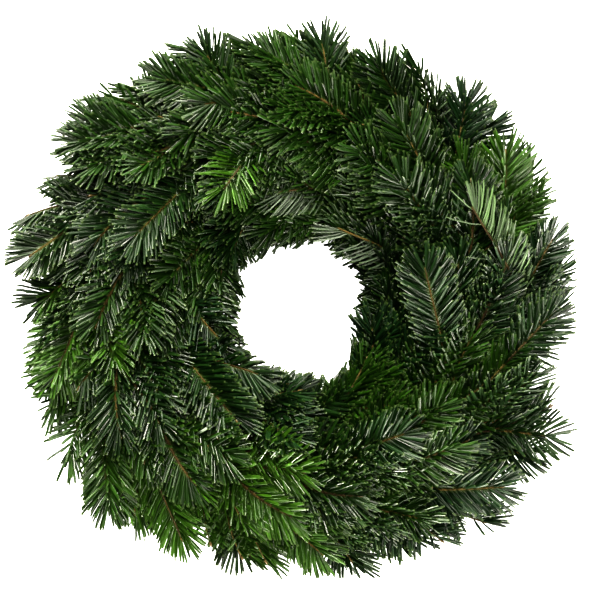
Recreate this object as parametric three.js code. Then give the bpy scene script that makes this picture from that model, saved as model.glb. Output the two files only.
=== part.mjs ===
// Fresh fir wreath, lying on its back with its front face up. Millimetres, +Z up.
// Fir sprigs are bound onto a straw ring by one winding of wire, in fourteen bunches of four.
// Each sprig is a cut twig with side shoots, and its needles grow out of the twig's own faces.
import * as THREE from "three";

// The straw ring: a flat back, and a domed front. Offsets are from the middle of its section.
const ringRadius = 105;
const strawSection = [
  [16, 0],
  [20, 8],
  [18, 21],
  [10, 31],
  [-10, 31],
  [-18, 21],
  [-20, 8],
  [-16, 0],
];
const strawMiddle = 15;
const grooveDepth = 1.8; // the wire bites this far into the straw's flat back
const grooveHalfWidth = 6;

// The winding of wire, one turn for each bunch of sprigs.
const bunches = 14;
const pitch = (2 * Math.PI) / bunches;
const windingStart = THREE.MathUtils.degToRad(-3.2);
const wireRadius = 0.6;
const seatGap = 0.3; // between a stem and the straw under it, and between the wire and a stem
// Where the wire runs against the straw, as [offset, height, share of the pitch] from the back inwards.
const wireUnder = [
  [16.5, 0.9, 0],
  [-16.5, 0.9, 0],
  [-21, 8, 0],
  [-19.4, 22, 0.05],
];
const wireDown = [22.4, 7.6, 1];

// Sprigs. A stem lies on the straw under the wire, and the sprig then lifts off along the winding.
const stemRadius = 2.5;
const tipRadius = 1.2;
const stemHalfLength = 12;
const needleLength = 22;
const needleRoot = 3;
const bareLength = 5; // of a shoot before its first needles, and twice that on a twig
const needleLean = THREE.MathUtils.degToRad(50);
const needleWaist = 0.22; // the share of a needle that counts as its foot
const leanAtTip = 0.6; // needles lean further forward at a twig's tip
const whorlSpacing = 17.5;
const sides = 3;
const flatShare = Math.cos(Math.PI / sides); // how far a limb's flat faces lie from its middle, to its corners
const clearance = 0.35;
const rodLength = 7;
const footReach = 9; // how near along its own twig a needle's foot may touch other feet
const bladeReach = 2;
const lowestNeedle = 1.5;

// The four rows of a bunch. Sweep is how many degrees a sprig runs round the ring. Reach is the radius of
// the wreath's outline at each sprig's tip, and shift is how many degrees that tip lies from its even
// place, both as seen going round the wreath. Overhang is how far needles reach past the twig.
const rows = [
  {
    name: "side",
    seat: [19, 14.5],
    seatNormal: [0.988, 0.152],
    turnShare: 0.97,
    sweep: 27,
    reach: [182, 180, 183, 183, 185, 181, 181, 190, 178, 185, 189, 190, 184, 185],
    shift: [0, 0, 2, 3, 2, 2, 2, 4, 0, 3, 0, -6, 0, 0],
    tipHeight: 15,
    liftOff: 16,
    flare: 46,
    roll: 16,
    up: [0.8, 0.6],
    overhang: 19,
    shoots: 2,
  },
  {
    name: "outer",
    seat: [14, 26],
    seatNormal: [0.78, 0.62],
    turnShare: 0.75,
    sweep: 48,
    reach: [182, 182, 189, 196, 194, 184, 198, 188, 181, 182, 197, 198, 189, 186],
    shift: [6, 6, 5, 2, 2, 4, 8, -1, 5, 4, -4, -10, 0, -4],
    tipHeight: 48,
    liftOff: 20,
    flare: 40,
    roll: 16,
    up: [0.4, 0.92],
    overhang: 19,
    shoots: 3,
  },
  {
    name: "face",
    seat: [0, 31],
    seatNormal: [0, 1],
    turnShare: 0.45,
    sweep: 51,
    reach: [152, 158, 150, 160, 154, 148, 160, 152, 158, 150, 156, 162, 150, 156],
    shift: [0, 3, -2, 4, 0, -3, 2, 0, 4, -4, 0, 3, -2, 0],
    tipHeight: 61,
    liftOff: 24,
    flare: 20,
    roll: 7,
    up: [0, 1],
    overhang: 19,
    shoots: 3,
  },
  {
    name: "inner",
    seat: [-14, 26],
    seatNormal: [-0.78, 0.62],
    turnShare: 0.15,
    sweep: 62,
    reach: [43, 38, 38, 42, 38, 40, 45, 46, 46, 53, 47, 40, 46, 41],
    shift: [0, 2, -2, 0, 3, 0, -3, 0, 2, 0, 0, -2, 0, 2],
    tipHeight: 40,
    liftOff: 20,
    flare: -12,
    roll: 16,
    up: [-0.6, 0.8],
    overhang: -13,
    shoots: 2,
  },
];

// Side shoots of a sprig: where they leave the twig, and how they run.
const shootShares = [0.34, 0.58, 0.16];
const shootLength = 46;
const shootAngle = THREE.MathUtils.degToRad(44);
const shootRadius = 1.25;
const shootTipRadius = 1;
const shootRoom = 4; // kept free round a shoot's wood
const shorterShoots = [1, 0.85, 0.7, 0.55]; // tried in turn
const shootBend = [1.2, 0.75]; // its angle where it leaves and where it ends, over its mean angle
const shootNeck = 5; // from the twig's middle to the shoot's first ring
const shootMargin = 10; // how far a shoot stays from the wreath's outline

const holeRadius = Math.min(...rows[3].reach);

const tints = { straw: 0xb99a5b, wire: 0x2f3a2c, dark: 0x1d3320, green: 0x27491f, bright: 0x3a6a1c };

// A repeatable stream of numbers from 0 to 1.
function drawsFrom(seed) {
  let state = seed >>> 0;
  return () => {
    state = (state + 0x6d2b79f5) >>> 0;
    let t = state;
    t = Math.imul(t ^ (t >>> 15), t | 1);
    t ^= t + Math.imul(t ^ (t >>> 7), t | 61);
    return ((t ^ (t >>> 14)) >>> 0) / 4294967296;
  };
}

const vector = (x, y, z) => new THREE.Vector3(x, y, z);

// A point of the ring's own frame: distance from the wreath's axis, angle round it, and height.
const onRing = (radius, angle, height) => vector(radius * Math.cos(angle), radius * Math.sin(angle), height);
const outward = (angle) => vector(Math.cos(angle), Math.sin(angle), 0);
const along = (angle) => vector(-Math.sin(angle), Math.cos(angle), 0);

// Collects triangles of one closed body.
class Shell {
  constructor() {
    this.places = [];
    this.faces = [];
  }
  point(p) {
    this.places.push(p.clone());
    return this.places.length - 1;
  }
  face(a, b, c) {
    this.faces.push([a, b, c]);
  }
  geometry() {
    const geometry = new THREE.BufferGeometry();
    geometry.setAttribute("position", new THREE.Float32BufferAttribute(this.places.flatMap((p) => p.toArray()), 3));
    geometry.setIndex(this.faces.flat());
    geometry.computeVertexNormals();
    return geometry;
  }
}

// Joins two rings of corners, both anticlockwise about the way they run, and returns the new faces.
function band(shell, from, to, keep = true) {
  const made = [];
  from.forEach((a, i) => {
    const next = (i + 1) % from.length;
    made.push([a, from[next], to[i]], [from[next], to[next], to[i]]);
  });
  if (keep) made.forEach((f) => shell.face(...f));
  return made;
}

// The straw ring, with a groove across its back under each turn of the wire.
function strawRing() {
  const shell = new Shell();
  const groove = grooveHalfWidth / ringRadius;
  const stations = [0, groove, pitch / 2, pitch - groove];
  const rings = [];
  for (let turn = 0; turn < bunches; turn++)
    stations.forEach((station, i) => {
      const angle = windingStart + turn * pitch + station;
      rings.push(
        strawSection.map(([offset, height]) =>
          shell.point(onRing(ringRadius + offset, angle, i === 0 && height === 0 ? grooveDepth : height)),
        ),
      );
    });
  rings.forEach((ring, i) => band(shell, [...ring].reverse(), [...rings[(i + 1) % rings.length]].reverse()));
  return shell.geometry();
}

// One turn of the wire as [offset, height, share of the pitch], straight across the back and inner side,
// and then slanting over the stems of one bunch.
function wireTurn() {
  const lift = seatGap + stemRadius * (1 + flatShare) + seatGap + wireRadius;
  const overStems = rows.map(({ seat, seatNormal, turnShare }) => [
    seat[0] + seatNormal[0] * lift,
    seat[1] + seatNormal[1] * lift,
    turnShare,
  ]);
  return [...wireUnder, ...overStems.reverse(), wireDown];
}

// The wire's centre line, closed on itself after the last bunch.
function wireLine() {
  return Array.from({ length: bunches }, (_, turn) =>
    wireTurn().map(([offset, height, share]) =>
      onRing(ringRadius + offset, windingStart + (turn + share) * pitch, height),
    ),
  ).flat();
}

function bindingWire() {
  const shell = new Shell();
  const line = wireLine();
  const rings = line.map((p, i) => {
    const before = line[(i + line.length - 1) % line.length];
    const after = line[(i + 1) % line.length];
    const tangent = after.clone().sub(before).normalize();
    const middle = outward(Math.atan2(p.y, p.x)).multiplyScalar(ringRadius).setZ(strawMiddle);
    const side = p.clone().sub(middle);
    side.addScaledVector(tangent, -side.dot(tangent)).normalize();
    const other = tangent.clone().cross(side);
    return Array.from({ length: sides }, (_, corner) => {
      const turn = (2 * Math.PI * corner) / sides;
      const arm = side.clone().multiplyScalar(Math.cos(turn)).addScaledVector(other, Math.sin(turn));
      return shell.point(p.clone().addScaledVector(arm, wireRadius));
    });
  });
  rings.forEach((ring, i) => band(shell, ring, rings[(i + 1) % rings.length]));
  return shell.geometry();
}

// A twig or shoot: a line of points with the distance along it, and its thickness.
class Limb {
  constructor(points, up, startRadius, endRadius) {
    this.points = points;
    this.up = up;
    this.startRadius = startRadius;
    this.endRadius = endRadius;
    this.distances = [0];
    points.slice(1).forEach((p, i) => this.distances.push(this.distances[i] + p.distanceTo(points[i])));
    this.length = this.distances[points.length - 1];
  }
  radius(distance) {
    return THREE.MathUtils.lerp(this.startRadius, this.endRadius, distance / this.length);
  }
  // The place, direction, sideways and upward vectors at a distance along the limb.
  at(distance) {
    const last = this.points.length - 2;
    let i = 0;
    while (i < last && this.distances[i + 1] < distance) i++;
    const share = (distance - this.distances[i]) / (this.distances[i + 1] - this.distances[i]);
    const place = this.points[i].clone().lerp(this.points[i + 1], share);
    const a = this.points[Math.max(0, i - 1)];
    const b = this.points[Math.min(last + 1, i + 2)];
    const direction = b.clone().sub(a).normalize();
    const sideways = this.up.clone().cross(direction).normalize();
    return { place, direction, sideways, upward: direction.clone().cross(sideways) };
  }
}

// Points along a smooth curve that leaves one place and reaches another in given directions.
function sweepPoints(from, fromDirection, to, toDirection, count) {
  const pull = 0.38 * from.distanceTo(to);
  const curve = new THREE.CubicBezierCurve3(
    from,
    from.clone().addScaledVector(fromDirection, pull),
    to.clone().addScaledVector(toDirection, -pull),
    to,
  );
  return Array.from({ length: count + 1 }, (_, i) => curve.getPoint(i / count));
}

// One sprig's place, with the route of its main twig.
function sprigRoute(row, rowIndex, k) {
  const draw = drawsFrom(100 * rowIndex + k + 7);
  const jitter = (size) => (2 * draw() - 1) * size;
  const lift = THREE.MathUtils.degToRad(row.liftOff + jitter(2));
  const flare = THREE.MathUtils.degToRad(row.flare + jitter(7));
  const tipHeight = row.tipHeight + jitter(4);
  const roll = THREE.MathUtils.degToRad(jitter(row.roll));
  const slope = jitter(0.12);

  const seatOut = stemRadius * flatShare + seatGap;
  const seatRadius = ringRadius + row.seat[0] + row.seatNormal[0] * seatOut;
  const seatHeight = row.seat[1] + row.seatNormal[1] * seatOut;
  const crossing = windingStart + (k + row.turnShare) * pitch;
  const stemAngle = stemHalfLength / seatRadius;
  const stem = [-1, -0.5, 0, 0.5].map((share) => onRing(seatRadius, crossing + share * stemAngle, seatHeight));

  const leave = crossing + stemAngle;
  const from = onRing(seatRadius, leave, seatHeight);
  const normal = outward(leave).multiplyScalar(row.seatNormal[0]).setZ(row.seatNormal[1]);
  const fromDirection = along(leave).multiplyScalar(Math.cos(lift)).addScaledVector(normal, Math.sin(lift));

  const tipAngle = crossing + THREE.MathUtils.degToRad(row.sweep + row.shift[k]);
  const inner = row.name === "inner";
  const to = onRing(row.reach[k] - row.overhang, tipAngle, tipHeight);
  const toDirection = along(tipAngle)
    .multiplyScalar(Math.cos(flare))
    .addScaledVector(outward(tipAngle), Math.sin(flare))
    .setZ(slope)
    .normalize();

  const halfway = (leave + tipAngle) / 2;
  const up = outward(halfway).multiplyScalar(row.up[0]).setZ(row.up[1]);
  up.applyAxisAngle(along(halfway), roll).normalize();
  return {
    name: `${row.name}_sprig_${String(k + 1).padStart(2, "0")}`,
    row,
    main: new Limb([...stem, ...sweepPoints(from, fromDirection, to, toDirection, 24)], up, stemRadius, tipRadius),
    shoots: [],
    nearest: inner ? row.reach[k] : holeRadius,
    furthest: inner ? ringRadius : row.reach[k] + 4,
    shell: new Shell(),
    draw: drawsFrom(5000 + 100 * rowIndex + k),
  };
}

// The run of a side shoot, which leaves its twig sideways and then bends a little forward.
function shootLimb(main, distance, hand, from, length) {
  const { direction, sideways } = main.at(distance);
  const out = (angle) =>
    direction.clone().multiplyScalar(Math.cos(angle)).addScaledVector(sideways, hand * Math.sin(angle));
  const to = from.clone().addScaledVector(out(shootAngle), length);
  const [leaving, ending] = shootBend.map((share) => out(shootAngle * share));
  return new Limb(sweepPoints(from, leaving, to, ending, 8), main.up, shootRadius, shootTipRadius);
}

// The nearest distance between two segments, with where it lies along each.
function nearest(a, b, c, d) {
  const u = b.clone().sub(a);
  const v = d.clone().sub(c);
  const w = a.clone().sub(c);
  const uu = u.lengthSq();
  const vv = v.lengthSq();
  const uv = u.dot(v);
  const uw = u.dot(w);
  const vw = v.dot(w);
  const flat = uu * vv - uv * uv;
  const unit = (x) => Math.min(1, Math.max(0, x));
  let s = flat > 1e-9 ? unit((uv * vw - vv * uw) / flat) : 0;
  const t = unit((uv * s + vw) / vv);
  s = unit((uv * t - uw) / uu);
  const gap = w.addScaledVector(u, s).addScaledVector(v, -t).length();
  return { gap, s, t };
}

// What a new needle has to stay clear of: tapered rods, kept by the cell of space that they pass.
class Thicket {
  constructor() {
    this.cells = new Map();
    this.size = 24;
  }
  keys(a, b, margin) {
    const found = [];
    const low = a.clone().min(b).subScalar(margin).divideScalar(this.size).floor();
    const high = a.clone().max(b).addScalar(margin).divideScalar(this.size).floor();
    for (let x = low.x; x <= high.x; x++)
      for (let y = low.y; y <= high.y; y++) for (let z = low.z; z <= high.z; z++) found.push(`${x},${y},${z}`);
    return found;
  }
  add(rod) {
    this.keys(rod.a, rod.b, rod.ra).forEach((key) => {
      if (!this.cells.has(key)) this.cells.set(key, []);
      this.cells.get(key).push(rod);
    });
  }
  // Whether a rod is clear of the rest, but for the near stretch of limb that it grows out of.
  clear(rod, limb, distance, near) {
    const seen = new Set();
    for (const key of this.keys(rod.a, rod.b, rod.ra + 3))
      for (const other of this.cells.get(key) ?? []) {
        const own = other.limb === limb && other.from < distance + near && other.to > distance - near / 3;
        if (own || seen.has(other)) continue;
        seen.add(other);
        const { gap, s, t } = nearest(rod.a, rod.b, other.a, other.b);
        const thickness = THREE.MathUtils.lerp(rod.ra, rod.rb, s) + THREE.MathUtils.lerp(other.ra, other.rb, t);
        if (gap < thickness + clearance) return false;
      }
    return true;
  }
}

// How far a place lies outside the straw. It is negative inside.
function outsideStraw(p) {
  const x = Math.hypot(p.x, p.y) - ringRadius;
  return Math.max(
    ...strawSection.map(([x0, z0], i) => {
      const [x1, z1] = strawSection[(i + 1) % strawSection.length];
      return ((x - x0) * (z1 - z0) - (p.z - z0) * (x1 - x0)) / Math.hypot(x1 - x0, z1 - z0);
    }),
  );
}

// Whether a tapered rod passes clear of the straw all along.
function offStraw(rod) {
  return [0, 0.25, 0.5, 0.75, 1].every((share) => {
    const room = outsideStraw(rod.a.clone().lerp(rod.b, share));
    return room > THREE.MathUtils.lerp(rod.ra, rod.rb, share) + clearance;
  });
}

// The room that a sprig has: between the hole and the outline, off the straw and off the ground.
function inRoom(sprig, place, margin) {
  const radius = Math.hypot(place.x, place.y);
  const within = radius > sprig.nearest + margin && radius < sprig.furthest - margin;
  return within && place.z > lowestNeedle + margin / 2 && outsideStraw(place) > margin / 4;
}

// Raises a needle from one face of a twig, trying other leans and turns until it is clear of the rest.
function raiseNeedle(sprig, thicket, limb, distance, corners, turn, lean) {
  const { shell, draw } = sprig;
  const frame = limb.at(distance);
  const places = corners.map((i) => shell.places[i]);
  const base = places[0].clone().add(places[1]).add(places[2]).divideScalar(3);
  const width = Math.max(...places.map((p) => p.distanceTo(base)));
  const attempts = 30;
  for (let attempt = 0; attempt < attempts; attempt++) {
    const loose = 0.15 + (0.6 * attempt) / attempts;
    const azimuth = turn + (2 * draw() - 1) * loose * 0.7;
    const tilt = Math.max(lean * 0.7, lean + (2 * draw() - 1) * loose);
    const size = needleLength * (0.86 + 0.22 * draw()) * (attempt < attempts / 2 ? 1 : 0.75);
    const tip = base
      .clone()
      .addScaledVector(frame.direction, size * Math.cos(tilt))
      .addScaledVector(frame.sideways, size * Math.sin(tilt) * Math.cos(azimuth))
      .addScaledVector(frame.upward, size * Math.sin(tilt) * Math.sin(azimuth));
    const waist = base.clone().lerp(tip, needleWaist);
    const waistWidth = width * (1 - needleWaist);
    const foot = { a: base, b: waist, ra: width, rb: waistWidth, limb, from: distance - 1, to: distance + 1 };
    const blade = { a: waist, b: tip, ra: waistWidth, rb: 0.1 };
    if (!inRoom(sprig, tip, 0) || !offStraw(foot) || !offStraw(blade)) continue;
    if (!thicket.clear(foot, limb, distance, footReach) || !thicket.clear(blade, limb, distance, bladeReach)) continue;
    thicket.add(foot);
    thicket.add(blade);
    const apex = shell.point(tip);
    corners.forEach((corner, i) => shell.face(corner, corners[(i + 1) % 3], apex));
    return;
  }
  shell.face(...corners);
}

// One ring of corners round a limb, turned by a given phase.
function ringAt(shell, limb, distance, phase) {
  const { place, sideways, upward } = limb.at(distance);
  const radius = limb.radius(distance);
  return Array.from({ length: sides }, (_, i) => {
    const turn = phase + (2 * Math.PI * i) / sides;
    const arm = sideways.clone().multiplyScalar(Math.cos(turn)).addScaledVector(upward, Math.sin(turn));
    return shell.point(place.clone().addScaledVector(arm, radius));
  });
}

// Where one face of a limb looks, as a turn about the limb.
function azimuthOf(shell, face, frame) {
  const middle = vector(0, 0, 0);
  face.forEach((i) => middle.addScaledVector(shell.places[i], 1 / 3));
  middle.sub(frame.place);
  return Math.atan2(middle.dot(frame.upward), middle.dot(frame.sideways));
}

// How many whorls of needles a limb has, and where they sit on it.
function whorlsOf(limb, first) {
  const last = limb.length - needleRoot - 1;
  const count = Math.max(1, Math.round((last - first) / whorlSpacing));
  return Array.from({ length: count + 1 }, (_, i) => THREE.MathUtils.lerp(first, last, i / count));
}

// Clothes a limb with whorls of needles from a starting ring to its tip, and closes it with a last needle.
function clothe(sprig, thicket, limb, ring, phase, shoots) {
  const { shell } = sprig;
  const halfFace = Math.PI / sides;
  let corners = ring;
  let turn = phase;
  limb.whorls.forEach((distance, whorl) => {
    turn += halfFace / 2;
    const lower = ringAt(shell, limb, distance, turn);
    turn += halfFace;
    const upper = ringAt(shell, limb, distance + needleRoot, turn);
    band(shell, corners, lower);
    corners = upper;
    const frame = limb.at(distance + needleRoot / 2);
    let faces = band(shell, lower, upper, false);
    shoots
      .filter((shoot) => shoot.whorl === whorl)
      .forEach((shoot) => {
        const facing = (f) => shoot.hand * Math.cos(azimuthOf(shell, f, frame));
        const chosen = faces.reduce((best, f) => (facing(f) > facing(best) ? f : best));
        faces = faces.filter((f) => f !== chosen);
        growShoot(sprig, thicket, shoot.limb, chosen);
      });
    const lean = THREE.MathUtils.lerp(1, leanAtTip, (whorl / (limb.whorls.length - 1)) ** 4) * needleLean;
    faces.forEach((face) => {
      raiseNeedle(sprig, thicket, limb, distance + needleRoot / 2, face, azimuthOf(shell, face, frame), lean);
    });
  });
  raiseNeedle(sprig, thicket, limb, limb.length, corners, 0, 0.15);
}

// Grows a side shoot out of one face of its twig.
function growShoot(sprig, thicket, limb, face) {
  const { shell } = sprig;
  const start = limb.at(0);
  const first = shell.places[face[0]].clone().sub(start.place);
  const phase = Math.atan2(first.dot(start.upward), first.dot(start.sideways));
  const neck = ringAt(shell, limb, shootNeck, phase);
  band(shell, face, neck);
  clothe(sprig, thicket, limb, neck, phase, []);
}

// The rods that stand for a limb's wood.
function rodsOf(limb) {
  const count = Math.ceil(limb.length / rodLength);
  return Array.from({ length: count }, (_, i) => {
    const from = (i * limb.length) / count;
    const to = ((i + 1) * limb.length) / count;
    const [a, b] = [limb.at(from).place, limb.at(to).place];
    return { a, b, ra: limb.radius(from), rb: limb.radius(to), limb, from, to };
  });
}

// Finds room for one side shoot: on either hand, and shorter where it has to be.
function placeShoot(sprig, thicket, share, firstHand) {
  const { main } = sprig;
  const whorl = Math.round(share * (main.whorls.length - 1));
  const distance = main.whorls[whorl] + needleRoot / 2;
  const { place, sideways } = main.at(distance);
  for (const shortening of shorterShoots)
    for (const hand of [firstHand, -firstHand]) {
      const from = place.clone().addScaledVector(sideways, (hand * main.radius(distance)) / 2);
      const limb = shootLimb(main, distance, hand, from, shootLength * shortening);
      const rods = rodsOf(limb);
      const free = rods.slice(1).every((rod) => {
        const wide = { ...rod, ra: shootRoom, rb: shootRoom };
        return inRoom(sprig, rod.b, shootMargin) && thicket.clear(wide, main, distance, footReach);
      });
      if (!free) continue;
      limb.whorls = whorlsOf(limb, shootNeck + bareLength);
      rods.forEach((rod) => thicket.add(rod));
      sprig.shoots.push({ whorl, hand, limb });
      return;
    }
}

// Lays every twig first and the side shoots after, so that shoots find room round the twigs.
function placeSprigs(thicket) {
  const sprigs = rows.flatMap((row, rowIndex) =>
    Array.from({ length: bunches }, (_, k) => {
      const sprig = sprigRoute(row, rowIndex, k);
      sprig.main.whorls = whorlsOf(sprig.main, 2 * stemHalfLength + 2 * bareLength);
      rodsOf(sprig.main).forEach((rod) => thicket.add(rod));
      return sprig;
    }),
  );
  sprigs.forEach((sprig, i) => {
    const shares = shootShares.slice(0, sprig.row.shoots);
    shares.forEach((share, j) => placeShoot(sprig, thicket, share, (i + j) % 2 ? 1 : -1));
  });
  return sprigs;
}

// A sprig's stem lies on the straw with one flat face, so the corner opposite looks away from the straw.
function sprigGeometry(sprig, thicket) {
  const { shell, main } = sprig;
  const seated = main.at(stemHalfLength);
  const away = outward(Math.atan2(seated.place.y, seated.place.x)).multiplyScalar(sprig.row.seatNormal[0]);
  away.setZ(sprig.row.seatNormal[1]);
  const phase = Math.atan2(away.dot(seated.upward), away.dot(seated.sideways));
  const [butt, middle, leaving] = [0, 1, 2].map((i) => ringAt(shell, main, i * stemHalfLength, phase));
  shell.face(butt[0], butt[2], butt[1]);
  band(shell, butt, middle);
  band(shell, middle, leaving);
  clothe(sprig, thicket, main, leaving, phase, sprig.shoots);
  return shell.geometry();
}

function buildWreath() {
  const finish = (color, roughness, metalness = 0) =>
    new THREE.MeshStandardMaterial({ color, roughness, metalness, flatShading: true });
  const wreath = new THREE.Group();
  const add = (name, geometry, material) => {
    const mesh = new THREE.Mesh(geometry, material);
    mesh.name = name;
    wreath.add(mesh);
  };
  add("straw_ring", strawRing(), finish(tints.straw, 0.9));
  add("binding_wire", bindingWire(), finish(tints.wire, 0.4, 0.8));
  const greens = [tints.dark, tints.green, tints.bright].map((tint) => finish(tint, 0.5));
  const thicket = new Thicket();
  const line = wireLine();
  line.forEach((p, i) => thicket.add({ a: p, b: line[(i + 1) % line.length], ra: wireRadius, rb: wireRadius }));
  const sprigs = placeSprigs(thicket);
  sprigs.forEach((sprig, i) => add(sprig.name, sprigGeometry(sprig, thicket), greens[i % 3]));
  const box = new THREE.Box3().setFromObject(wreath);
  const middle = box.getCenter(vector(0, 0, 0));
  wreath.position.set(-middle.x, -middle.y, -box.min.z);
  return wreath;
}

export default buildWreath();
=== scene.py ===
# Looks of a fresh fir wreath: fir sprigs with needles, bark and buds, bound with wire onto a straw ring.
# The sprigs run along the same routes as the solids. Lengths are in metres unless a name ends in _mm.
import math

import bpy
import numpy as np
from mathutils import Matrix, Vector


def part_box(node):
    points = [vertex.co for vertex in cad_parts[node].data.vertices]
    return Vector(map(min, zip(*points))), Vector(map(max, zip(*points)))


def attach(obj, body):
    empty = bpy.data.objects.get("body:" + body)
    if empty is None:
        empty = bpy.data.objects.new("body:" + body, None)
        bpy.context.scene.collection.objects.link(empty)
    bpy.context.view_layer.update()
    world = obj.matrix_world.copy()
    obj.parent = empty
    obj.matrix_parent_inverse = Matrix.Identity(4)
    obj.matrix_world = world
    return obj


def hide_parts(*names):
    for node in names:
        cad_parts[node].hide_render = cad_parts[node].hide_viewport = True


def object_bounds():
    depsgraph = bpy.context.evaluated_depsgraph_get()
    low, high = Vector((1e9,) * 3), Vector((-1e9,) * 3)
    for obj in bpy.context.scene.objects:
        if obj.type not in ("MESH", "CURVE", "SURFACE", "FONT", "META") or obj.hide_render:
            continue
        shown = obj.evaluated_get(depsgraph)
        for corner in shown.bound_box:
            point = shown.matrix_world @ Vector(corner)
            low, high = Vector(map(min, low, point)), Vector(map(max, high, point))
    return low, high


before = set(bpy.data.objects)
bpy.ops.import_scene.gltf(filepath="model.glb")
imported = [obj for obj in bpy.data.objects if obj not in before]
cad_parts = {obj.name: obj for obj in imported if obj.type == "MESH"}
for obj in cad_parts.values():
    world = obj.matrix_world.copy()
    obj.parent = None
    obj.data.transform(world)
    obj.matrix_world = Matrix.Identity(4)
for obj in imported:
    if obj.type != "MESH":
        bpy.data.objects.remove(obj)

cad_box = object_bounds()

bl_info = {
    "name": "Fresh fir wreath",
    "version": (1, 0, 0),
    "blender": (4, 5, 0),
    "location": "3D View > Sidebar > Wreath",
    "description": "Builds a wreath of fir sprigs on a straw ring, with its materials and a studio",
    "category": "Add Mesh",
}

MM = 0.001

# The straw ring and the winding of wire, as in the solids.
ring_radius_mm = 105.0
straw_section_mm = [(16, 0), (20, 8), (18, 21), (10, 31), (-10, 31), (-18, 21), (-20, 8), (-16, 0)]
bunches = 14
pitch = 2 * math.pi / bunches
winding_start = math.radians(-3.2)
groove_depth_mm = 1.8
groove_half_width_mm = 6.0
wire_radius_mm = 0.6
seat_gap_mm = 0.3
wire_under_mm = [(16.5, 0.9, 0), (-16.5, 0.9, 0), (-21, 8, 0), (-19.4, 22, 0.05)]
wire_down_mm = (22.4, 7.6, 1)

# Where each row of random draws starts. A sprig adds a hundred for its row and one for its bunch.
route_seed = 7
needle_seed = 900
spray_seed = 4000
straw_seed = 11

# Twigs and their side shoots, as in the solids. Jitters are the most that a sprig differs from its row.
lift_jitter = 2.0
flare_jitter = 7.0
tip_height_jitter_mm = 4.0
slope_jitter = 0.12
curve_pull = 0.38
twig_steps = 24
shoot_steps = 8
stem_radius_mm = 2.5
tip_radius_mm = 1.2
stem_half_length_mm = 12.0
stem_shares = (-1, -0.5, 0, 0.5)
flat_share = 0.5
clearance_mm = 0.35
rod_length_mm = 7.0
foot_reach_mm = 9.0
foot_reach_back_mm = 3.0
lowest_needle_mm = 1.5
whorl_spacing_mm = 17.5
needle_root_mm = 3.0
bare_length_mm = 5.0
shoot_shares = [0.34, 0.58, 0.16]
shoot_length_mm = 46.0
shoot_angle = math.radians(44)
shoot_radius_mm = 1.25
shoot_tip_radius_mm = 1.0
shoot_room_mm = 4.0
shorter_shoots = [1, 0.85, 0.7, 0.55]
shoot_bend = [1.2, 0.75]
shoot_margin_mm = 10.0

# The four rows of a bunch, as in the solids. A seat is a distance from the ring's middle line and a height.
# Lengths are in millimetres, and sweep, shift, lift_off, flare and roll are in degrees.
rows = [
    {
        "name": "side",
        "seat": (19, 14.5),
        "seat_normal": (0.988, 0.152),
        "turn_share": 0.97,
        "sweep": 27,
        "reach": [182, 180, 183, 183, 185, 181, 181, 190, 178, 185, 189, 190, 184, 185],
        "shift": [0, 0, 2, 3, 2, 2, 2, 4, 0, 3, 0, -6, 0, 0],
        "tip_height": 15,
        "lift_off": 16,
        "flare": 46,
        "roll": 16,
        "up": (0.8, 0.6),
        "overhang": 19,
        "shoots": 2,
    },
    {
        "name": "outer",
        "seat": (14, 26),
        "seat_normal": (0.78, 0.62),
        "turn_share": 0.75,
        "sweep": 48,
        "reach": [182, 182, 189, 196, 194, 184, 198, 188, 181, 182, 197, 198, 189, 186],
        "shift": [6, 6, 5, 2, 2, 4, 8, -1, 5, 4, -4, -10, 0, -4],
        "tip_height": 48,
        "lift_off": 20,
        "flare": 40,
        "roll": 16,
        "up": (0.4, 0.92),
        "overhang": 19,
        "shoots": 3,
    },
    {
        "name": "face",
        "seat": (0, 31),
        "seat_normal": (0, 1),
        "turn_share": 0.45,
        "sweep": 51,
        "reach": [152, 158, 150, 160, 154, 148, 160, 152, 158, 150, 156, 162, 150, 156],
        "shift": [0, 3, -2, 4, 0, -3, 2, 0, 4, -4, 0, 3, -2, 0],
        "tip_height": 61,
        "lift_off": 24,
        "flare": 20,
        "roll": 7,
        "up": (0, 1),
        "overhang": 19,
        "shoots": 3,
    },
    {
        "name": "inner",
        "seat": (-14, 26),
        "seat_normal": (-0.78, 0.62),
        "turn_share": 0.15,
        "sweep": 62,
        "reach": [43, 38, 38, 42, 38, 40, 45, 46, 46, 53, 47, 40, 46, 41],
        "shift": [0, 2, -2, 0, 3, 0, -3, 0, 2, 0, 0, -2, 0, 2],
        "tip_height": 40,
        "lift_off": 20,
        "flare": -12,
        "roll": 16,
        "up": (-0.6, 0.8),
        "overhang": -13,
        "shoots": 2,
    },
]
hole_radius_mm = min(rows[3]["reach"])

# Where the looks go further than the solids: longer tips, slimmer wood past the bound stem, and more
# side shoots, which leave the twig on either hand at even steps.
longer_tip_mm = {"side": 3.0, "outer": 3.0, "face": 2.0, "inner": 0.5}
longer_shoot_mm = 1.5
slim_twig_mm = (1.5, 0.8)
slim_within_mm = 30.0
slim_shoot_mm = (0.85, 0.6)
spray_step_mm = {"side": 12.0, "outer": 16.0, "face": 24.0, "inner": 13.0}
spray_step_jitter_mm = 2.0
spray_within = {"side": 0.75, "outer": 0.7, "face": 0.6, "inner": 0.75}
spray_dip = {"side": 0.0, "outer": -14.0, "face": -20.0, "inner": -14.0}
spray_dip_scatter = 7.0
spray_angle = math.radians(38)
spray_angle_span = (0.8, 1.2)
spray_bend = [1.2, 0.45]
spray_heading = 0.85
spray_longest_mm = 56.0
spray_shortest_mm = 8.0
spray_share_of_rest = 0.8
spray_length_span = (0.8, 1.1)
spray_room_mm = 9.0
spray_clear_mm = 6.0
fork_spacing_mm = 8.0

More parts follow.
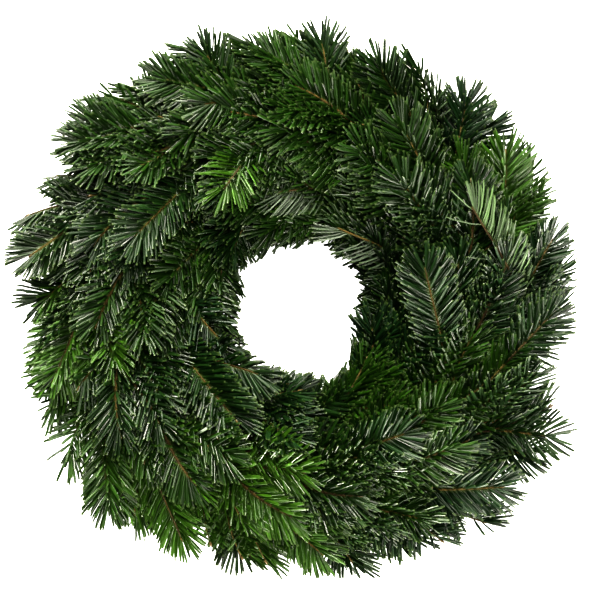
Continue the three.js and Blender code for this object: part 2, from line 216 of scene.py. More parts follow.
# How needles stand on a twig and differ from each other. A span is the least and the most of an even draw,
# and a scatter is a standard deviation. The spans are in degrees: for low, middle and high needles they are
# spreads from the twig's upper side, and for the top lean they are angles from the twig.
needle_ranks = ["low", "middle", "low", "middle", "low", "high"]
needle_spans = {"low": (86, 100), "middle": (56, 70), "high": (18, 40), "top_lean": (30, 58)}
row_density = {"side": 1.15, "outer": 1.1, "face": 1.0, "inner": 1.4}
fresh_middle = 0.42
fresh_scatter = 0.17
fresh_limits = (0.05, 0.85)
needle_fresh_scatter = 0.05
place_span = (0.3, 0.7)
end_gap_mm = 0.3
full_side = math.radians(80)
spread_scatter = math.radians(4)
lean_scatter = math.radians(2)
end_straightening = 0.75
end_straightening_power = 1.4
strays = 0.06
stray_scatter = 5
needle_length_span = (0.92, 1.06)
top_length = 0.3
end_shortening = 0.22
foot_shortening = 0.28
foot_stretch_mm = 14.0
facing_tilt = 0.25
twisted = 0.08
twisted_scatter = 3
plain_curl = 0.14
rise_curl = 0.03
curl_scatter = 0.06
foot_depth = 0.85
needle_width_span = (0.85, 1.12)
end_slimming = 0.1
one_sided_rest = 0.1
first_twig_needle_mm = 2 * stem_half_length_mm - 2
first_shoot_needle_mm = 4.0

# Where needles end: off the ground and the straw, at the hole's edge, and at the sprig's own reach, which
# falls off to either side of its tip.
above_ground_mm = 1.6
into_straw_mm = 0.5
ragged_hole_mm = (-1.5, 4)
past_reach_mm = 4
ragged_reach_mm = (-3, 3)
notch_from = math.radians(4)
notch_slope_mm = 46.0
notch_deepest_mm = 12.0
clear_furthest_mm = 230.0

# The hole's edge in the photo, in millimetres from the ring's middle, counterclockwise from the right.
hole_edge_mm = [
    *(43, 46, 46, 43, 42, 45, 43, 38, 40, 38, 39, 42, 42, 38),
    *(36, 40, 45, 45, 46, 46, 45, 46, 49, 57, 54, 49, 41, 39),
]

# A needle's shape as how far along it, how wide and how thick, and a bud's ends as where each begins and
# stops, the place that it is narrowed about, and how wide it stays. All are shares of the whole.
needle_stations = [(0.0, 0.5, 0.9), (0.3, 0.97, 1.0), (0.8, 1.0, 1.0), (1.0, 0.76, 0.7)]
bud_ends = [(0.6, 1.1, 0.75, 0.72), (-0.1, 0.15, 0.1, 0.8)]

# Bark, and buds with how each leans and its share of the full size.
bark_swell = (-0.09, 0.13)
bark_point_mm = 0.4
bud_leans = ((0, 1.0), (0.8, 0.7), (-0.8, 0.7))
bud_scatter = 0.15
bud_length_span = (0.85, 1.1)
bud_width_share = 0.55
bud_sunk_mm = 0.6
shoots_with_bud = 0.4

# Straw stalks, the thread wound round them, and the straw core under them.
section_middle_mm = 15.0
stalk_radius_span = (0.8, 1.25)
stalk_run_mm = (60, 170)
stalk_step_mm = 10.0
stalk_least_steps = 6
stalk_sides = 5
stalk_drift_scatter_mm = 2.2
stalk_waver_scatter_mm = 0.25
stalk_depth_mm = (0, 0.7)
stalk_inset_mm = 0.02
stalk_inset_share = 0.96
stalk_end_share = 0.8
stalk_ground_gap_mm = 0.03
back_height_mm = 6.0
thread_inset_mm = 0.28
thread_steps_per_turn = 20
thread_sides = 4
thread_ground_gap_mm = 0.05
core_inset_share = 1.7
core_back_share = 0.6
core_circle_radius = 0.02
core_steps = 84
# Painted shade: the core takes a dark straw tint, as the shade in the gaps between the stalks where it shows.
core_painted_shade_tint = 0.1
core_map_rise = 50
plain_tint = 0.5

# How the wire rounds its corners, and how many millimetres of a tube make one unit of its surface map.
corner_share = 0.4
corner_steps = (0.0, 0.33, 0.67, 1.0)
unrolled_mm = 10.0

# Each finish's place in its piece's list.
needle_finish = 0
bark_finish = 1
bud_finish = 2
stalk_finish = 0
thread_finish = 1
wire_finish = 0

# The stage, and the soft lamps round it: name, place, size, whose power each has and how much of it.
floor_size = 8.0
floor_drop = 0.0005
dome_radius = 5.5
lamp_aim = (0, 0, 0.04)
sensor_width_mm = 36.0
picture_look = "High Contrast"
picture_gamma = 0.93
softboxes = [
    ("key_softbox", (-0.25, 1.3, 1.0), 0.4, "key_power", 1.0),
    ("fill_softbox", (0.7, -1.35, 0.6), 0.45, "fill_power", 1.0),
    ("top_softbox", (0.1, 0.3, 1.9), 0.5, "top_power", 1.0),
    ("low_front_softbox", (-0.6, -1.45, 0.2), 0.35, "low_power", 1.0),
    ("low_right_softbox", (1.4, -0.8, 0.2), 0.35, "low_power", 0.45),
    ("low_back_softbox", (0.3, 1.55, 0.2), 0.35, "low_power", 0.35),
]

# Ways in which needles look, where they aren't plain. Fresh runs from blue-green at 0 to yellow-green at 1.
bare_top = {"middle": math.radians(75), "high": math.radians(55)}
turned_over = {
    "turned_from": 0.0,
    "middle": math.radians(80),
    "high": math.radians(66),
    "curl": 0.24,
    "slim": 0.62,
}
sprig_looks = {
    "face_sprig_01": {"fresh": 0.5},
    "face_sprig_02": {"fresh": 0.6},
    "face_sprig_04": {"fresh": 0.45, **bare_top},
    "face_sprig_08": {"fresh": 0.5, **bare_top},
    "face_sprig_09": {"fresh": 0.86},
    "face_sprig_13": {"fresh": 0.2},
    "face_sprig_14": {"fresh": 0.3},
    "inner_sprig_08": bare_top,
    "outer_sprig_03": {"fresh": 0.55},
    "outer_sprig_04": {"fresh": 0.55},
    "outer_sprig_05": bare_top,
    "outer_sprig_06": {"fresh": 0.85},
    "outer_sprig_07": {"fresh": 0.7},
    "outer_sprig_08": {"fresh": 0.85, **bare_top},
    "outer_sprig_09": {"fresh": 0.8},
    "outer_sprig_10": {"furthest": 181},
    "outer_sprig_12": {"furthest": 184},
    "outer_sprig_13": {"fresh": 0.15, **bare_top},
    "outer_sprig_14": {"fresh": 0.8},
    "side_sprig_04": {"furthest": 181},
    "side_sprig_07": {"furthest": 179},
    "side_sprig_08": {"fresh": 0.7},
    "side_sprig_09": {"fresh": 0.8},
    "side_sprig_13": {"fresh": 0.15},
    "side_sprig_14": {"fresh": 0.75},
}

# Shoots that the photo shows clearly: the sprig that carries each, how far along its twig the shoot leaves,
# the pixel of the shoot's tip in the photo, the tip's height in millimetres, and how its needles look.
# A pixel has its size at the photo's level, seen from the photo's distance over the ground.
photo_middle = (296, 303)
photo_mm_per_pixel = 0.66
photo_distance_mm = 1150.0
photo_level_mm = 45.0
clear_shoot_steps = 12
clear_shoot_follows_twig = 0.3
clear_shoot_rise = 0.5
clear_shoot_end_slope = 0.1
clear_shoots = [
    ("face_sprig_01", 0.25, (399, 178), 76, {"fresh": 0.4}),
    ("outer_sprig_13", 0.72, (472, 207), 77, {"fresh": 0.85, "density": 0.8, "one_sided": 1, **turned_over}),
    ("face_sprig_04", 0.33, (224, 189), 74, {"fresh": 0.88, "density": 0.8}),
    ("face_sprig_05", 0.3, (134, 237), 74, {"fresh": 0.3}),
    ("inner_sprig_08", 0.25, (236, 420), 72, {"fresh": 0.25, **bare_top}),
    ("inner_sprig_08", 0.42, (258, 374), 58, {"fresh": 0.2, **bare_top}),
    ("face_sprig_11", 0.25, (404, 434), 70, {"fresh": 0.2, **bare_top}),
    ("face_sprig_13", 0.4, (425, 268), 74, {"fresh": 0.2, **bare_top}),
    ("outer_sprig_03", 0.55, (205, 104), 66, {"fresh": 0.6, **bare_top}),
    ("outer_sprig_12", 0.7, (550, 436), 48, {"fresh": 0.35, "density": 0.7}),
    ("face_sprig_12", 0.97, (550, 316), 62, {"fresh": 0.25}),
    ("side_sprig_01", 0.7, (487, 126), 30, {"fresh": 0.1}),
    ("outer_sprig_01", 0.4, (466, 102), 36, {"fresh": 0.05}),
    ("outer_sprig_02", 0.68, (322, 44), 44, {"fresh": 0.3}),
    ("outer_sprig_03", 0.7, (206, 54), 46, {"fresh": 0.4}),
    ("side_sprig_06", 0.8, (40, 301), 20, {"fresh": 0.3}),
    ("side_sprig_09", 0.8, (240, 549), 18, {"fresh": 0.3}),
    ("side_sprig_10", 0.8, (356, 567), 21, {"fresh": 0.3}),
    ("outer_sprig_14", 0.5, (528, 192), 40, {"fresh": 0.8}),
    ("outer_sprig_04", 0.7, (88, 122), 46, {"fresh": 0.5}),
    ("side_sprig_12", 0.8, (526, 454), 26, {"fresh": 0.2}),
    ("inner_sprig_01", 0.4, (338, 228), 54, {"fresh": 0.4, "density": 0.7, "one_sided": -1, **turned_over}),
    ("inner_sprig_03", 0.35, (278, 192), 54, {"fresh": 0.35, "density": 0.7, "one_sided": -1, **turned_over}),
    ("inner_sprig_07", 0.35, (220, 340), 52, {"fresh": 0.05, "density": 0.7, **bare_top}),
]


def draws_from(seed):
    """A repeatable stream of numbers from 0 to 1, the same as the solids use."""
    state = seed & 0xFFFFFFFF

    def draw():
        nonlocal state
        state = (state + 0x6D2B79F5) & 0xFFFFFFFF
        mixed = ((state ^ (state >> 15)) * (state | 1)) & 0xFFFFFFFF
        mixed ^= (mixed + (((mixed ^ (mixed >> 7)) * (mixed | 61)) & 0xFFFFFFFF)) & 0xFFFFFFFF
        return (mixed ^ (mixed >> 14)) / 4294967296

    return draw


def on_ring(radius, angle, height):
    """A point of the ring's own frame, in millimetres."""
    return np.array([radius * math.cos(angle), radius * math.sin(angle), height])


def outward(angle):
    return np.array([math.cos(angle), math.sin(angle), 0.0])


def along(angle):
    return np.array([-math.sin(angle), math.cos(angle), 0.0])


def unit(vectors):
    """Vectors made one long. They may be one vector or a list of them."""
    return vectors / np.maximum(np.linalg.norm(vectors, axis=-1, keepdims=True), 1e-9)


def turned(vector, axis, angle):
    """A vector turned about an axis."""
    cosine = math.cos(angle)
    across = np.cross(axis, vector) * math.sin(angle)
    return vector * cosine + across + axis * np.dot(axis, vector) * (1 - cosine)


class Limb:
    """A twig or shoot: a line of points, which way is up on it, and its thickness from end to end."""

    def __init__(self, points, up, start_radius, end_radius):
        self.points = np.array(points)
        self.up = up
        self.start_radius = start_radius
        self.end_radius = end_radius
        self.looks = {}
        steps = np.linalg.norm(np.diff(self.points, axis=0), axis=1)
        self.distances = np.concatenate([[0], np.cumsum(steps)])
        self.length = self.distances[-1]
        ahead = np.vstack([self.points[1:], self.points[-1:]])
        behind = np.vstack([self.points[:1], self.points[:-1]])
        self.tangents = unit(ahead - behind)

    def radius(self, distance):
        return self.start_radius + (self.end_radius - self.start_radius) * distance / self.length

    def step_at(self, distance):
        """The place and direction at one distance, by the steps of the line that the solids use."""
        last = len(self.points) - 2
        i = 0
        while i < last and self.distances[i + 1] < distance:
            i += 1
        share = (distance - self.distances[i]) / (self.distances[i + 1] - self.distances[i])
        place = self.points[i] + (self.points[i + 1] - self.points[i]) * share
        direction = unit(self.points[min(last + 1, i + 2)] - self.points[max(0, i - 1)])
        return place, direction

    def frames(self, distances):
        """Smooth places, directions, sideways and upward vectors at many distances."""
        places = np.stack([np.interp(distances, self.distances, self.points[:, a]) for a in range(3)], 1)
        runs = np.stack([np.interp(distances, self.distances, self.tangents[:, a]) for a in range(3)], 1)
        directions = unit(runs)
        sideways = unit(np.cross(self.up, directions))
        return places, directions, sideways, np.cross(directions, sideways)


def sweep_points(start, start_direction, end, end_direction, count):
    """Points along a smooth curve that leaves one place and reaches another in given directions."""
    pull = curve_pull * np.linalg.norm(end - start)
    second = start + start_direction * pull
    third = end - end_direction * pull
    shares = [i / count for i in range(count + 1)]
    return [
        start * (1 - t) ** 3 + second * 3 * t * (1 - t) ** 2 + third * 3 * t * t * (1 - t) + end * t**3
        for t in shares
    ]


def sprig_route(row, row_index, k):
    """One sprig's main twig, on the route that it has in the solids."""
    seed = 100 * row_index + k
    draw = draws_from(seed + route_seed)

    def jitter(size):
        return (2 * draw() - 1) * size

    lift = math.radians(row["lift_off"] + jitter(lift_jitter))
    flare = math.radians(row["flare"] + jitter(flare_jitter))
    tip_height = row["tip_height"] + jitter(tip_height_jitter_mm)
    roll = math.radians(jitter(row["roll"]))
    slope = jitter(slope_jitter)

    seat_out = stem_radius_mm * flat_share + seat_gap_mm
    seat_radius = ring_radius_mm + row["seat"][0] + row["seat_normal"][0] * seat_out
    seat_height = row["seat"][1] + row["seat_normal"][1] * seat_out
    crossing = winding_start + (k + row["turn_share"]) * pitch
    stem_angle = stem_half_length_mm / seat_radius
    stem = [on_ring(seat_radius, crossing + share * stem_angle, seat_height) for share in stem_shares]

    leave = crossing + stem_angle
    start = on_ring(seat_radius, leave, seat_height)
    normal = outward(leave) * row["seat_normal"][0] + np.array([0, 0, row["seat_normal"][1]])
    start_direction = along(leave) * math.cos(lift) + normal * math.sin(lift)

    tip_angle = crossing + math.radians(row["sweep"] + row["shift"][k])
    end = on_ring(row["reach"][k] - row["overhang"], tip_angle, tip_height)
    end_direction = along(tip_angle) * math.cos(flare) + outward(tip_angle) * math.sin(flare)
    end_direction[2] = slope
    end_direction = unit(end_direction)

    halfway = (leave + tip_angle) / 2
    up = outward(halfway) * row["up"][0]
    up[2] = row["up"][1]
    up = unit(turned(up, along(halfway), roll))
    points = stem + sweep_points(start, start_direction, end, end_direction, twig_steps)
    inner = row["name"] == "inner"
    return {
        "name": f"{row['name']}_sprig_{k + 1:02d}",
        "row": row,
        "main": Limb(points, up, stem_radius_mm, tip_radius_mm),
        "shoots": [],
        "forks": [],
        "nearest": row["reach"][k] if inner else hole_radius_mm,
        "furthest": ring_radius_mm if inner else row["reach"][k] + past_reach_mm,
        "tip_angle": tip_angle,
        "seed": seed,
    }


def outside_straw(places):
    """How far places lie outside the straw, in millimetres. It is negative inside."""
    x = np.hypot(places[..., 0], places[..., 1]) - ring_radius_mm
    z = places[..., 2]
    depths = []
    for i, (x0, z0) in enumerate(straw_section_mm):
        x1, z1 = straw_section_mm[(i + 1) % len(straw_section_mm)]
        depths.append(((x - x0) * (z1 - z0) - (z - z0) * (x1 - x0)) / math.hypot(x1 - x0, z1 - z0))
    return np.max(depths, axis=0)


class Thicket:
    """The wire and the wood that a side shoot has to stay clear of, as rods."""

    def __init__(self):
        self.rods = []

    def add(self, start, end, start_radius, end_radius, limb=None, reach=(0, 0)):
        self.rods.append((start, end, start_radius, end_radius, id(limb) if limb else 0, *reach))

    def add_limb(self, limb):
        for rod in rods_of(limb):
            self.add(*rod[:4], limb, rod[4:])

    def clear(self, start, end, radius, limb, distance):
        """Whether a rod is clear of the rest, but for the near stretch of limb that it grows out of."""
        starts = np.array([rod[0] for rod in self.rods])
        ends = np.array([rod[1] for rod in self.rods])
        facts = np.array([rod[2:] for rod in self.rods], dtype=float)
        u = end - start
        v = ends - starts
        w = start - starts
        uu = u @ u
        vv = np.sum(v * v, axis=1)
        uv = v @ u
        uw = w @ u
        vw = np.sum(v * w, axis=1)
        flat = uu * vv - uv * uv
        s = np.where(flat > 1e-9, np.clip((uv * vw - vv * uw) / np.maximum(flat, 1e-9), 0, 1), 0)
        t = np.clip((uv * s + vw) / vv, 0, 1)
        s = np.clip((uv * t - uw) / uu, 0, 1)
        gaps = np.linalg.norm(w + u * s[:, None] - v * t[:, None], axis=1)
        thickness = radius + facts[:, 0] + (facts[:, 1] - facts[:, 0]) * t
        same = facts[:, 2] == float(id(limb))
        near = (facts[:, 3] < distance + foot_reach_mm) & (facts[:, 4] > distance - foot_reach_back_mm)
        own = same & near
        return not np.any((gaps < thickness + clearance_mm) & ~own)


def rods_of(limb):
    """The rods that stand for a limb's wood."""
    count = math.ceil(limb.length / rod_length_mm)
    edges = [i * limb.length / count for i in range(count + 1)]
    places = [limb.step_at(edge)[0] for edge in edges]
    return [
        (places[i], places[i + 1], limb.radius(edges[i]), limb.radius(edges[i + 1]), edges[i], edges[i + 1])
        for i in range(count)
    ]


def whorls_of(limb, first):
    """Where the solids' whorls sit on a twig, because side shoots leave it there."""
    last = limb.length - needle_root_mm - 1
    count = max(1, math.floor((last - first) / whorl_spacing_mm + 0.5))
    return [first + (last - first) * i / count for i in range(count + 1)]


def place_shoot(sprig, thicket, share, first_hand):
    """Finds room for one side shoot: on either hand, and shorter where it has to be."""
    main = sprig["main"]
    whorls = whorls_of(main, 2 * stem_half_length_mm + 2 * bare_length_mm)
    distance = whorls[math.floor(share * (len(whorls) - 1) + 0.5)] + needle_root_mm / 2
    place, direction = main.step_at(distance)
    sideways = unit(np.cross(main.up, direction))
    for shortening in shorter_shoots:
        for hand in (first_hand, -first_hand):
            start = place + sideways * hand * main.radius(distance) / 2

            def out(angle):
                return direction * math.cos(angle) + sideways * hand * math.sin(angle)

            end = start + out(shoot_angle) * shoot_length_mm * shortening
            leaving, ending = [out(shoot_angle * share_of) for share_of in shoot_bend]
            points = sweep_points(start, leaving, end, ending, shoot_steps)
            limb = Limb(points, main.up, shoot_radius_mm, shoot_tip_radius_mm)
            if all(
                in_room(sprig, rod[1]) and thicket.clear(rod[0], rod[1], shoot_room_mm, main, distance)
                for rod in rods_of(limb)[1:]
            ):
                thicket.add_limb(limb)
                sprig["shoots"].append(limb)
                sprig["forks"].append((distance, hand))
                return


def in_room(sprig, place):
    """Whether wood has room: between the hole and the outline, off the straw and off the ground."""
    radius = math.hypot(place[0], place[1])
    within = sprig["nearest"] + shoot_margin_mm < radius < sprig["furthest"] - shoot_margin_mm
    off_ground = place[2] > lowest_needle_mm + shoot_margin_mm / 2
    return within and off_ground and outside_straw(place) > shoot_margin_mm / 4


def wire_line():
    """The corners of the wire's centre line, one turn for each bunch."""
    lift = seat_gap_mm + stem_radius_mm * (1 + flat_share) + seat_gap_mm + wire_radius_mm
    over = [
        (
            row["seat"][0] + row["seat_normal"][0] * lift,
            row["seat"][1] + row["seat_normal"][1] * lift,
            row["turn_share"],
        )
        for row in reversed(rows)
    ]
    turn_corners = [*wire_under_mm, *over, wire_down_mm]
    return [
        on_ring(ring_radius_mm + offset, winding_start + (turn + share) * pitch, height)
        for turn in range(bunches)
        for offset, height, share in turn_corners
    ]


def all_sprigs():
    """Every sprig with its twig and side shoots, in the ring's own frame and in millimetres."""
    thicket = Thicket()
    line = wire_line()
    for i, corner in enumerate(line):
        thicket.add(corner, line[(i + 1) % len(line)], wire_radius_mm, wire_radius_mm)
    sprigs = [sprig_route(row, i, k) for i, row in enumerate(rows) for k in range(bunches)]
    for sprig in sprigs:
        thicket.add_limb(sprig["main"])
    for i, sprig in enumerate(sprigs):
        for j, share in enumerate(shoot_shares[: sprig["row"]["shoots"]]):
            place_shoot(sprig, thicket, share, 1 if (i + j) % 2 else -1)
    return sprigs


def place_spray(sprig, dice, distance, hand):
    """Adds one short side shoot between the others, as long as it has room."""
    main = sprig["main"]
    if any(hand == other and abs(distance - fork) < fork_spacing_mm for fork, other in sprig["forks"]):
        return
    place, direction = main.step_at(distance)
    sideways = unit(np.cross(main.up, direction)) * hand
    tilt = math.radians(spray_dip[sprig["row"]["name"]] + dice.normal(0, spray_dip_scatter))
    angle = spray_angle * dice.uniform(*spray_angle_span)
    aside = sideways * math.cos(tilt) + np.cross(direction, sideways) * hand * math.sin(tilt)
    longest = min(spray_longest_mm, spray_shortest_mm + spray_share_of_rest * (main.length - distance))
    longest = longest * dice.uniform(*spray_length_span)

    def out(share_of):
        return direction * math.cos(angle * share_of) + aside * math.sin(angle * share_of)

    for shortening in shorter_shoots:
        end = place + out(spray_heading) * longest * shortening
        radius = math.hypot(end[0], end[1])
        within = sprig["nearest"] + spray_room_mm < radius < sprig["furthest"] - spray_room_mm
        if within and end[2] > spray_room_mm and outside_straw(end) > spray_clear_mm:
            points = sweep_points(place, out(spray_bend[0]), end, out(spray_bend[1]), shoot_steps)
            sprig["shoots"].append(Limb(points, main.up, shoot_radius_mm, shoot_tip_radius_mm))
            sprig["forks"].append((distance, hand))
            return


def place_clear_shoot(sprig, share, pixel, height, looks):
    """Adds a shoot that the photo shows clearly, from its twig to where the photo has its tip."""
    main = sprig["main"]
    start, direction = main.step_at(share * main.length)
    scale = photo_mm_per_pixel * (photo_distance_mm - height) / (photo_distance_mm - photo_level_mm)
    across = (pixel[0] - photo_middle[0]) * scale
    upwards = (photo_middle[1] - pixel[1]) * scale
    tip = np.array([across, upwards, height])
    heading = unit(tip - start)
    leaving = unit(heading + direction * clear_shoot_follows_twig + np.array([0, 0, clear_shoot_rise]))
    ending = unit(heading * np.array([1, 1, clear_shoot_end_slope]))
    points = sweep_points(start, leaving, tip, ending, clear_shoot_steps)
    limb = Limb(points, np.array([0, 0, 1.0]), shoot_radius_mm, shoot_tip_radius_mm)
    limb.looks = {**looks, "furthest": clear_furthest_mm}
    sprig["shoots"].append(limb)


known_sprigs = []


def dressed_sprigs():
    """The solids' sprigs with longer tips and more side shoots. They are worked out once."""
    if not known_sprigs:
        for sprig in all_sprigs():
            dice = np.random.default_rng(sprig["seed"] + spray_seed)
            row = sprig["row"]["name"]
            first = 2 * stem_half_length_mm + bare_length_mm
            last = first + (sprig["main"].length - first) * spray_within[row]
            for i, distance in enumerate(np.arange(first, last, spray_step_mm[row])):
                distance = distance + dice.uniform(-spray_step_jitter_mm, spray_step_jitter_mm)
                place_spray(sprig, dice, distance, 1 if i % 2 else -1)
            sprig["shoots"] = [lengthened(shoot, longer_shoot_mm) for shoot in sprig["shoots"]]
            for carrier, *shoot in clear_shoots:
                if carrier == sprig["name"]:
                    place_clear_shoot(sprig, *shoot)
            sprig["main"] = lengthened(sprig["main"], longer_tip_mm[row])
            known_sprigs.append(sprig)
    return known_sprigs


def lengthened(limb, extra):
    """The same limb with a longer tip."""
    tip = limb.points[-1] + limb.tangents[-1] * extra
    return Limb(np.vstack([limb.points, tip]), limb.up, limb.start_radius, limb.end_radius)


def bark_radius(limb, distances):
    """How thick the bark is: as the solid where the wire binds the stem, and slimmer further out."""
    if limb.start_radius < stem_radius_mm:
        return np.interp(distances, [0, limb.length], slim_shoot_mm)
    bound = 2 * stem_half_length_mm
    stations = [bound, bound + slim_within_mm, limb.length]
    return np.interp(distances, stations, (stem_radius_mm, *slim_twig_mm))


def scene_values():
    """The sizes and colours that the sidebar holds."""
    return bpy.context.scene.wreath


def deselect_all():
    if bpy.context.object and bpy.context.object.mode != "OBJECT":
        bpy.ops.object.mode_set(mode="OBJECT")
    bpy.ops.object.select_all(action="DESELECT")


def active_piece(name):
    """The object that the last operator added, under its own name."""
    piece = bpy.context.object
    piece.name = name
    piece.data.name = name
    return piece


def settle(piece):
    """Puts a piece's place into its mesh, so that its object sits at the origin."""
    deselect_all()
    piece.select_set(True)
    bpy.context.view_layer.objects.active = piece
    bpy.ops.object.transform_apply(location=True, rotation=True, scale=True)


def select_where(piece, test):
    """Selects, in edit mode, only the vertices whose place passes a test."""
    bpy.ops.object.mode_set(mode="EDIT")
    bpy.ops.mesh.select_mode(type="VERT")
    bpy.ops.mesh.select_all(action="DESELECT")
    bpy.ops.object.mode_set(mode="OBJECT")
    for vertex in piece.data.vertices:
        vertex.select = test(vertex.co)
    bpy.ops.object.mode_set(mode="EDIT")


class Pattern:
    """A shape that was modelled once, kept as arrays that its copies are made from."""

    def __init__(self, piece):
        mesh = piece.data
        mesh.update()
        self.places = np.empty(len(mesh.vertices) * 3)
        mesh.vertices.foreach_get("co", self.places)
        self.places = self.places.reshape(-1, 3)
        self.corners = np.concatenate([list(face.vertices) for face in mesh.polygons])
        self.face_sizes = np.array([len(face.vertices) for face in mesh.polygons])
        self.face_rises = np.repeat([face.normal.z for face in mesh.polygons], self.face_sizes)
        sharp = [tuple(edge.vertices) for edge in mesh.edges if edge.use_edge_sharp]
        self.sharp = np.array(sharp, dtype=int).reshape(-1, 2)
        bpy.data.objects.remove(piece, do_unlink=True)


class Batch:
    """Collects copies of patterns, in millimetres of the ring's own frame, for one piece."""

    def __init__(self):
        self.places = []
        self.corners = []
        self.face_sizes = []
        self.finishes = []
        self.surface = []
        self.fresh = []
        self.tint = []
        self.sharp = []
        self.count = 0

    def add(self, copies, corners, face_sizes, finish, surface, tint, fresh=0.5, sharp=()):
        """Adds copies, an array of copy, vertex and place, that share their faces."""
        number, size = copies.shape[:2]
        offsets = self.count + size * np.arange(number)
        self.places.append(copies.reshape(-1, 3))
        self.corners.append((offsets[:, None] + corners[None, :]).ravel())
        self.face_sizes.append(np.tile(face_sizes, number))
        self.finishes.append(np.full(number * len(face_sizes), finish))
        self.surface.append(np.tile(surface, (number, 1)))
        self.fresh.append(np.repeat(np.broadcast_to(fresh, number), size))
        self.tint.append(np.repeat(np.broadcast_to(tint, number), size))
        if len(sharp):
            self.sharp.append((offsets[:, None, None] + sharp[None, :, :]).reshape(-1, 2))
        self.count += number * size

    def add_copies(self, pattern, copies, finish, tint, fresh=0.5):
        faces = (pattern.corners, pattern.face_sizes, finish, pattern.surface)
        self.add(copies, *faces, tint, fresh, pattern.sharp)

    def piece(self, name, finishes, node, slot):
        """Makes the piece, lets it stand for its CAD node, and gives it its finishes."""
        mesh = bpy.data.meshes.new(name)
        places = (np.concatenate(self.places) + ring_centre_mm()) * MM
        corners = np.concatenate(self.corners)
        sizes = np.concatenate(self.face_sizes)
        starts = np.concatenate([[0], np.cumsum(sizes)[:-1]])
        mesh.vertices.add(len(places))
        mesh.vertices.foreach_set("co", places.astype(np.float32).ravel())
        mesh.loops.add(len(corners))
        mesh.loops.foreach_set("vertex_index", corners.astype(np.int32))
        mesh.polygons.add(len(sizes))
        mesh.polygons.foreach_set("loop_start", starts.astype(np.int32))
        mesh.polygons.foreach_set("material_index", np.concatenate(self.finishes).astype(np.int32))
        mesh.polygons.foreach_set("use_smooth", np.ones(len(sizes), dtype=bool))
        mesh.update(calc_edges=True)
        uv = mesh.uv_layers.new(name="surface")
        uv.uv.foreach_set("vector", np.concatenate(self.surface).astype(np.float32).ravel())
        for attribute, values in (("fresh", self.fresh), ("tint", self.tint)):
            layer = mesh.attributes.new(attribute, "FLOAT", "POINT")
            layer.data.foreach_set("value", np.concatenate(values).astype(np.float32))
        if self.sharp:
            pairs = np.sort(np.concatenate(self.sharp), axis=1)
            edges = np.empty(len(mesh.edges) * 2, dtype=np.int32)
            mesh.edges.foreach_get("vertices", edges)
            edges = np.sort(edges.reshape(-1, 2).astype(np.int64), axis=1)
            hard = np.isin(edges[:, 0] * self.count + edges[:, 1], pairs[:, 0] * self.count + pairs[:, 1])
            layer = mesh.attributes.get("sharp_edge") or mesh.attributes.new("sharp_edge", "BOOLEAN", "EDGE")
            layer.data.foreach_set("value", hard)
        for material in made_once(finishes):
            mesh.materials.append(material)
        mesh.validate()
        piece = bpy.data.objects.new(name, mesh)
        bpy.context.collection.objects.link(piece)
        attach(piece, "root")
        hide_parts(node)
        return piece


def ring_centre_mm():
    """Where the ring's own axis stands in the frame, in millimetres."""
    low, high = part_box("straw_ring")
    return np.array([(low[0] + high[0]) / 2, (low[1] + high[1]) / 2, 0.0]) / MM


def make_needle_pattern():
    """One needle, along +X with its glossy side up: narrow foot, ridged blade, flat back and a blunt tip."""
    values = scene_values().needles
    # The triangle that it starts from is 2 cos 30 degrees wide and 1.5 high.
    half_width = values.width / 2 / math.cos(math.radians(30))
    thickness = values.thickness / 1.5
    middle = (0.5, 0, 0)
    deselect_all()
    bpy.ops.mesh.primitive_cylinder_add(
        vertices=3, radius=1, depth=1, end_fill_type="NGON", location=middle, rotation=(0, math.pi / 2, 0)
    )
    needle = active_piece("needle_pattern")
    settle(needle)
    bpy.ops.object.mode_set(mode="EDIT")
    bpy.ops.mesh.select_all(action="SELECT")
    bpy.ops.transform.rotate(value=-math.pi / 2, orient_axis="X", center_override=middle)
    for share, _, _ in needle_stations[1:-1]:
        bpy.ops.mesh.select_all(action="SELECT")
        bpy.ops.mesh.bisect(plane_co=(share, 0, 0), plane_no=(1, 0, 0))
    for share, wide, thick in needle_stations:
        select_where(needle, lambda place, at=share: abs(place.x - at) < 0.01)
        size = (1, wide * half_width, thick * thickness)
        bpy.ops.transform.resize(value=size, center_override=(share, 0, 0))
    bpy.ops.mesh.select_all(action="SELECT")
    bpy.ops.mesh.normals_make_consistent(inside=False)
    bpy.ops.object.mode_set(mode="OBJECT")
    bpy.ops.object.shade_smooth_by_angle(angle=math.radians(30))
    # Of the edges along the blade, the two at its sides are sharp and its ridge is smooth.
    for edge in needle.data.edges:
        ends = [needle.data.vertices[i].co for i in edge.vertices]
        if abs(ends[0].x - ends[1].x) > 0.01:
            edge.use_edge_sharp = all(abs(end.y) > 1e-5 for end in ends)
    pattern = Pattern(needle)
    if pattern.places[:, 2].max() < -pattern.places[:, 2].min():
        raise RuntimeError("the needle's ridge isn't on top")
    along_blade = pattern.places[pattern.corners, 0]
    across = pattern.places[pattern.corners, 1]
    side = np.where(np.abs(across) < 1e-5, 0.5, np.where(across > 0, 1.0, 0.0))
    # The surface map goes from 0 to 1 across the glossy side, and from 1 to 2 across the back.
    under = pattern.face_rises < -0.01
    pattern.surface = np.stack([side + under * 1.0, along_blade], 1)
    return pattern


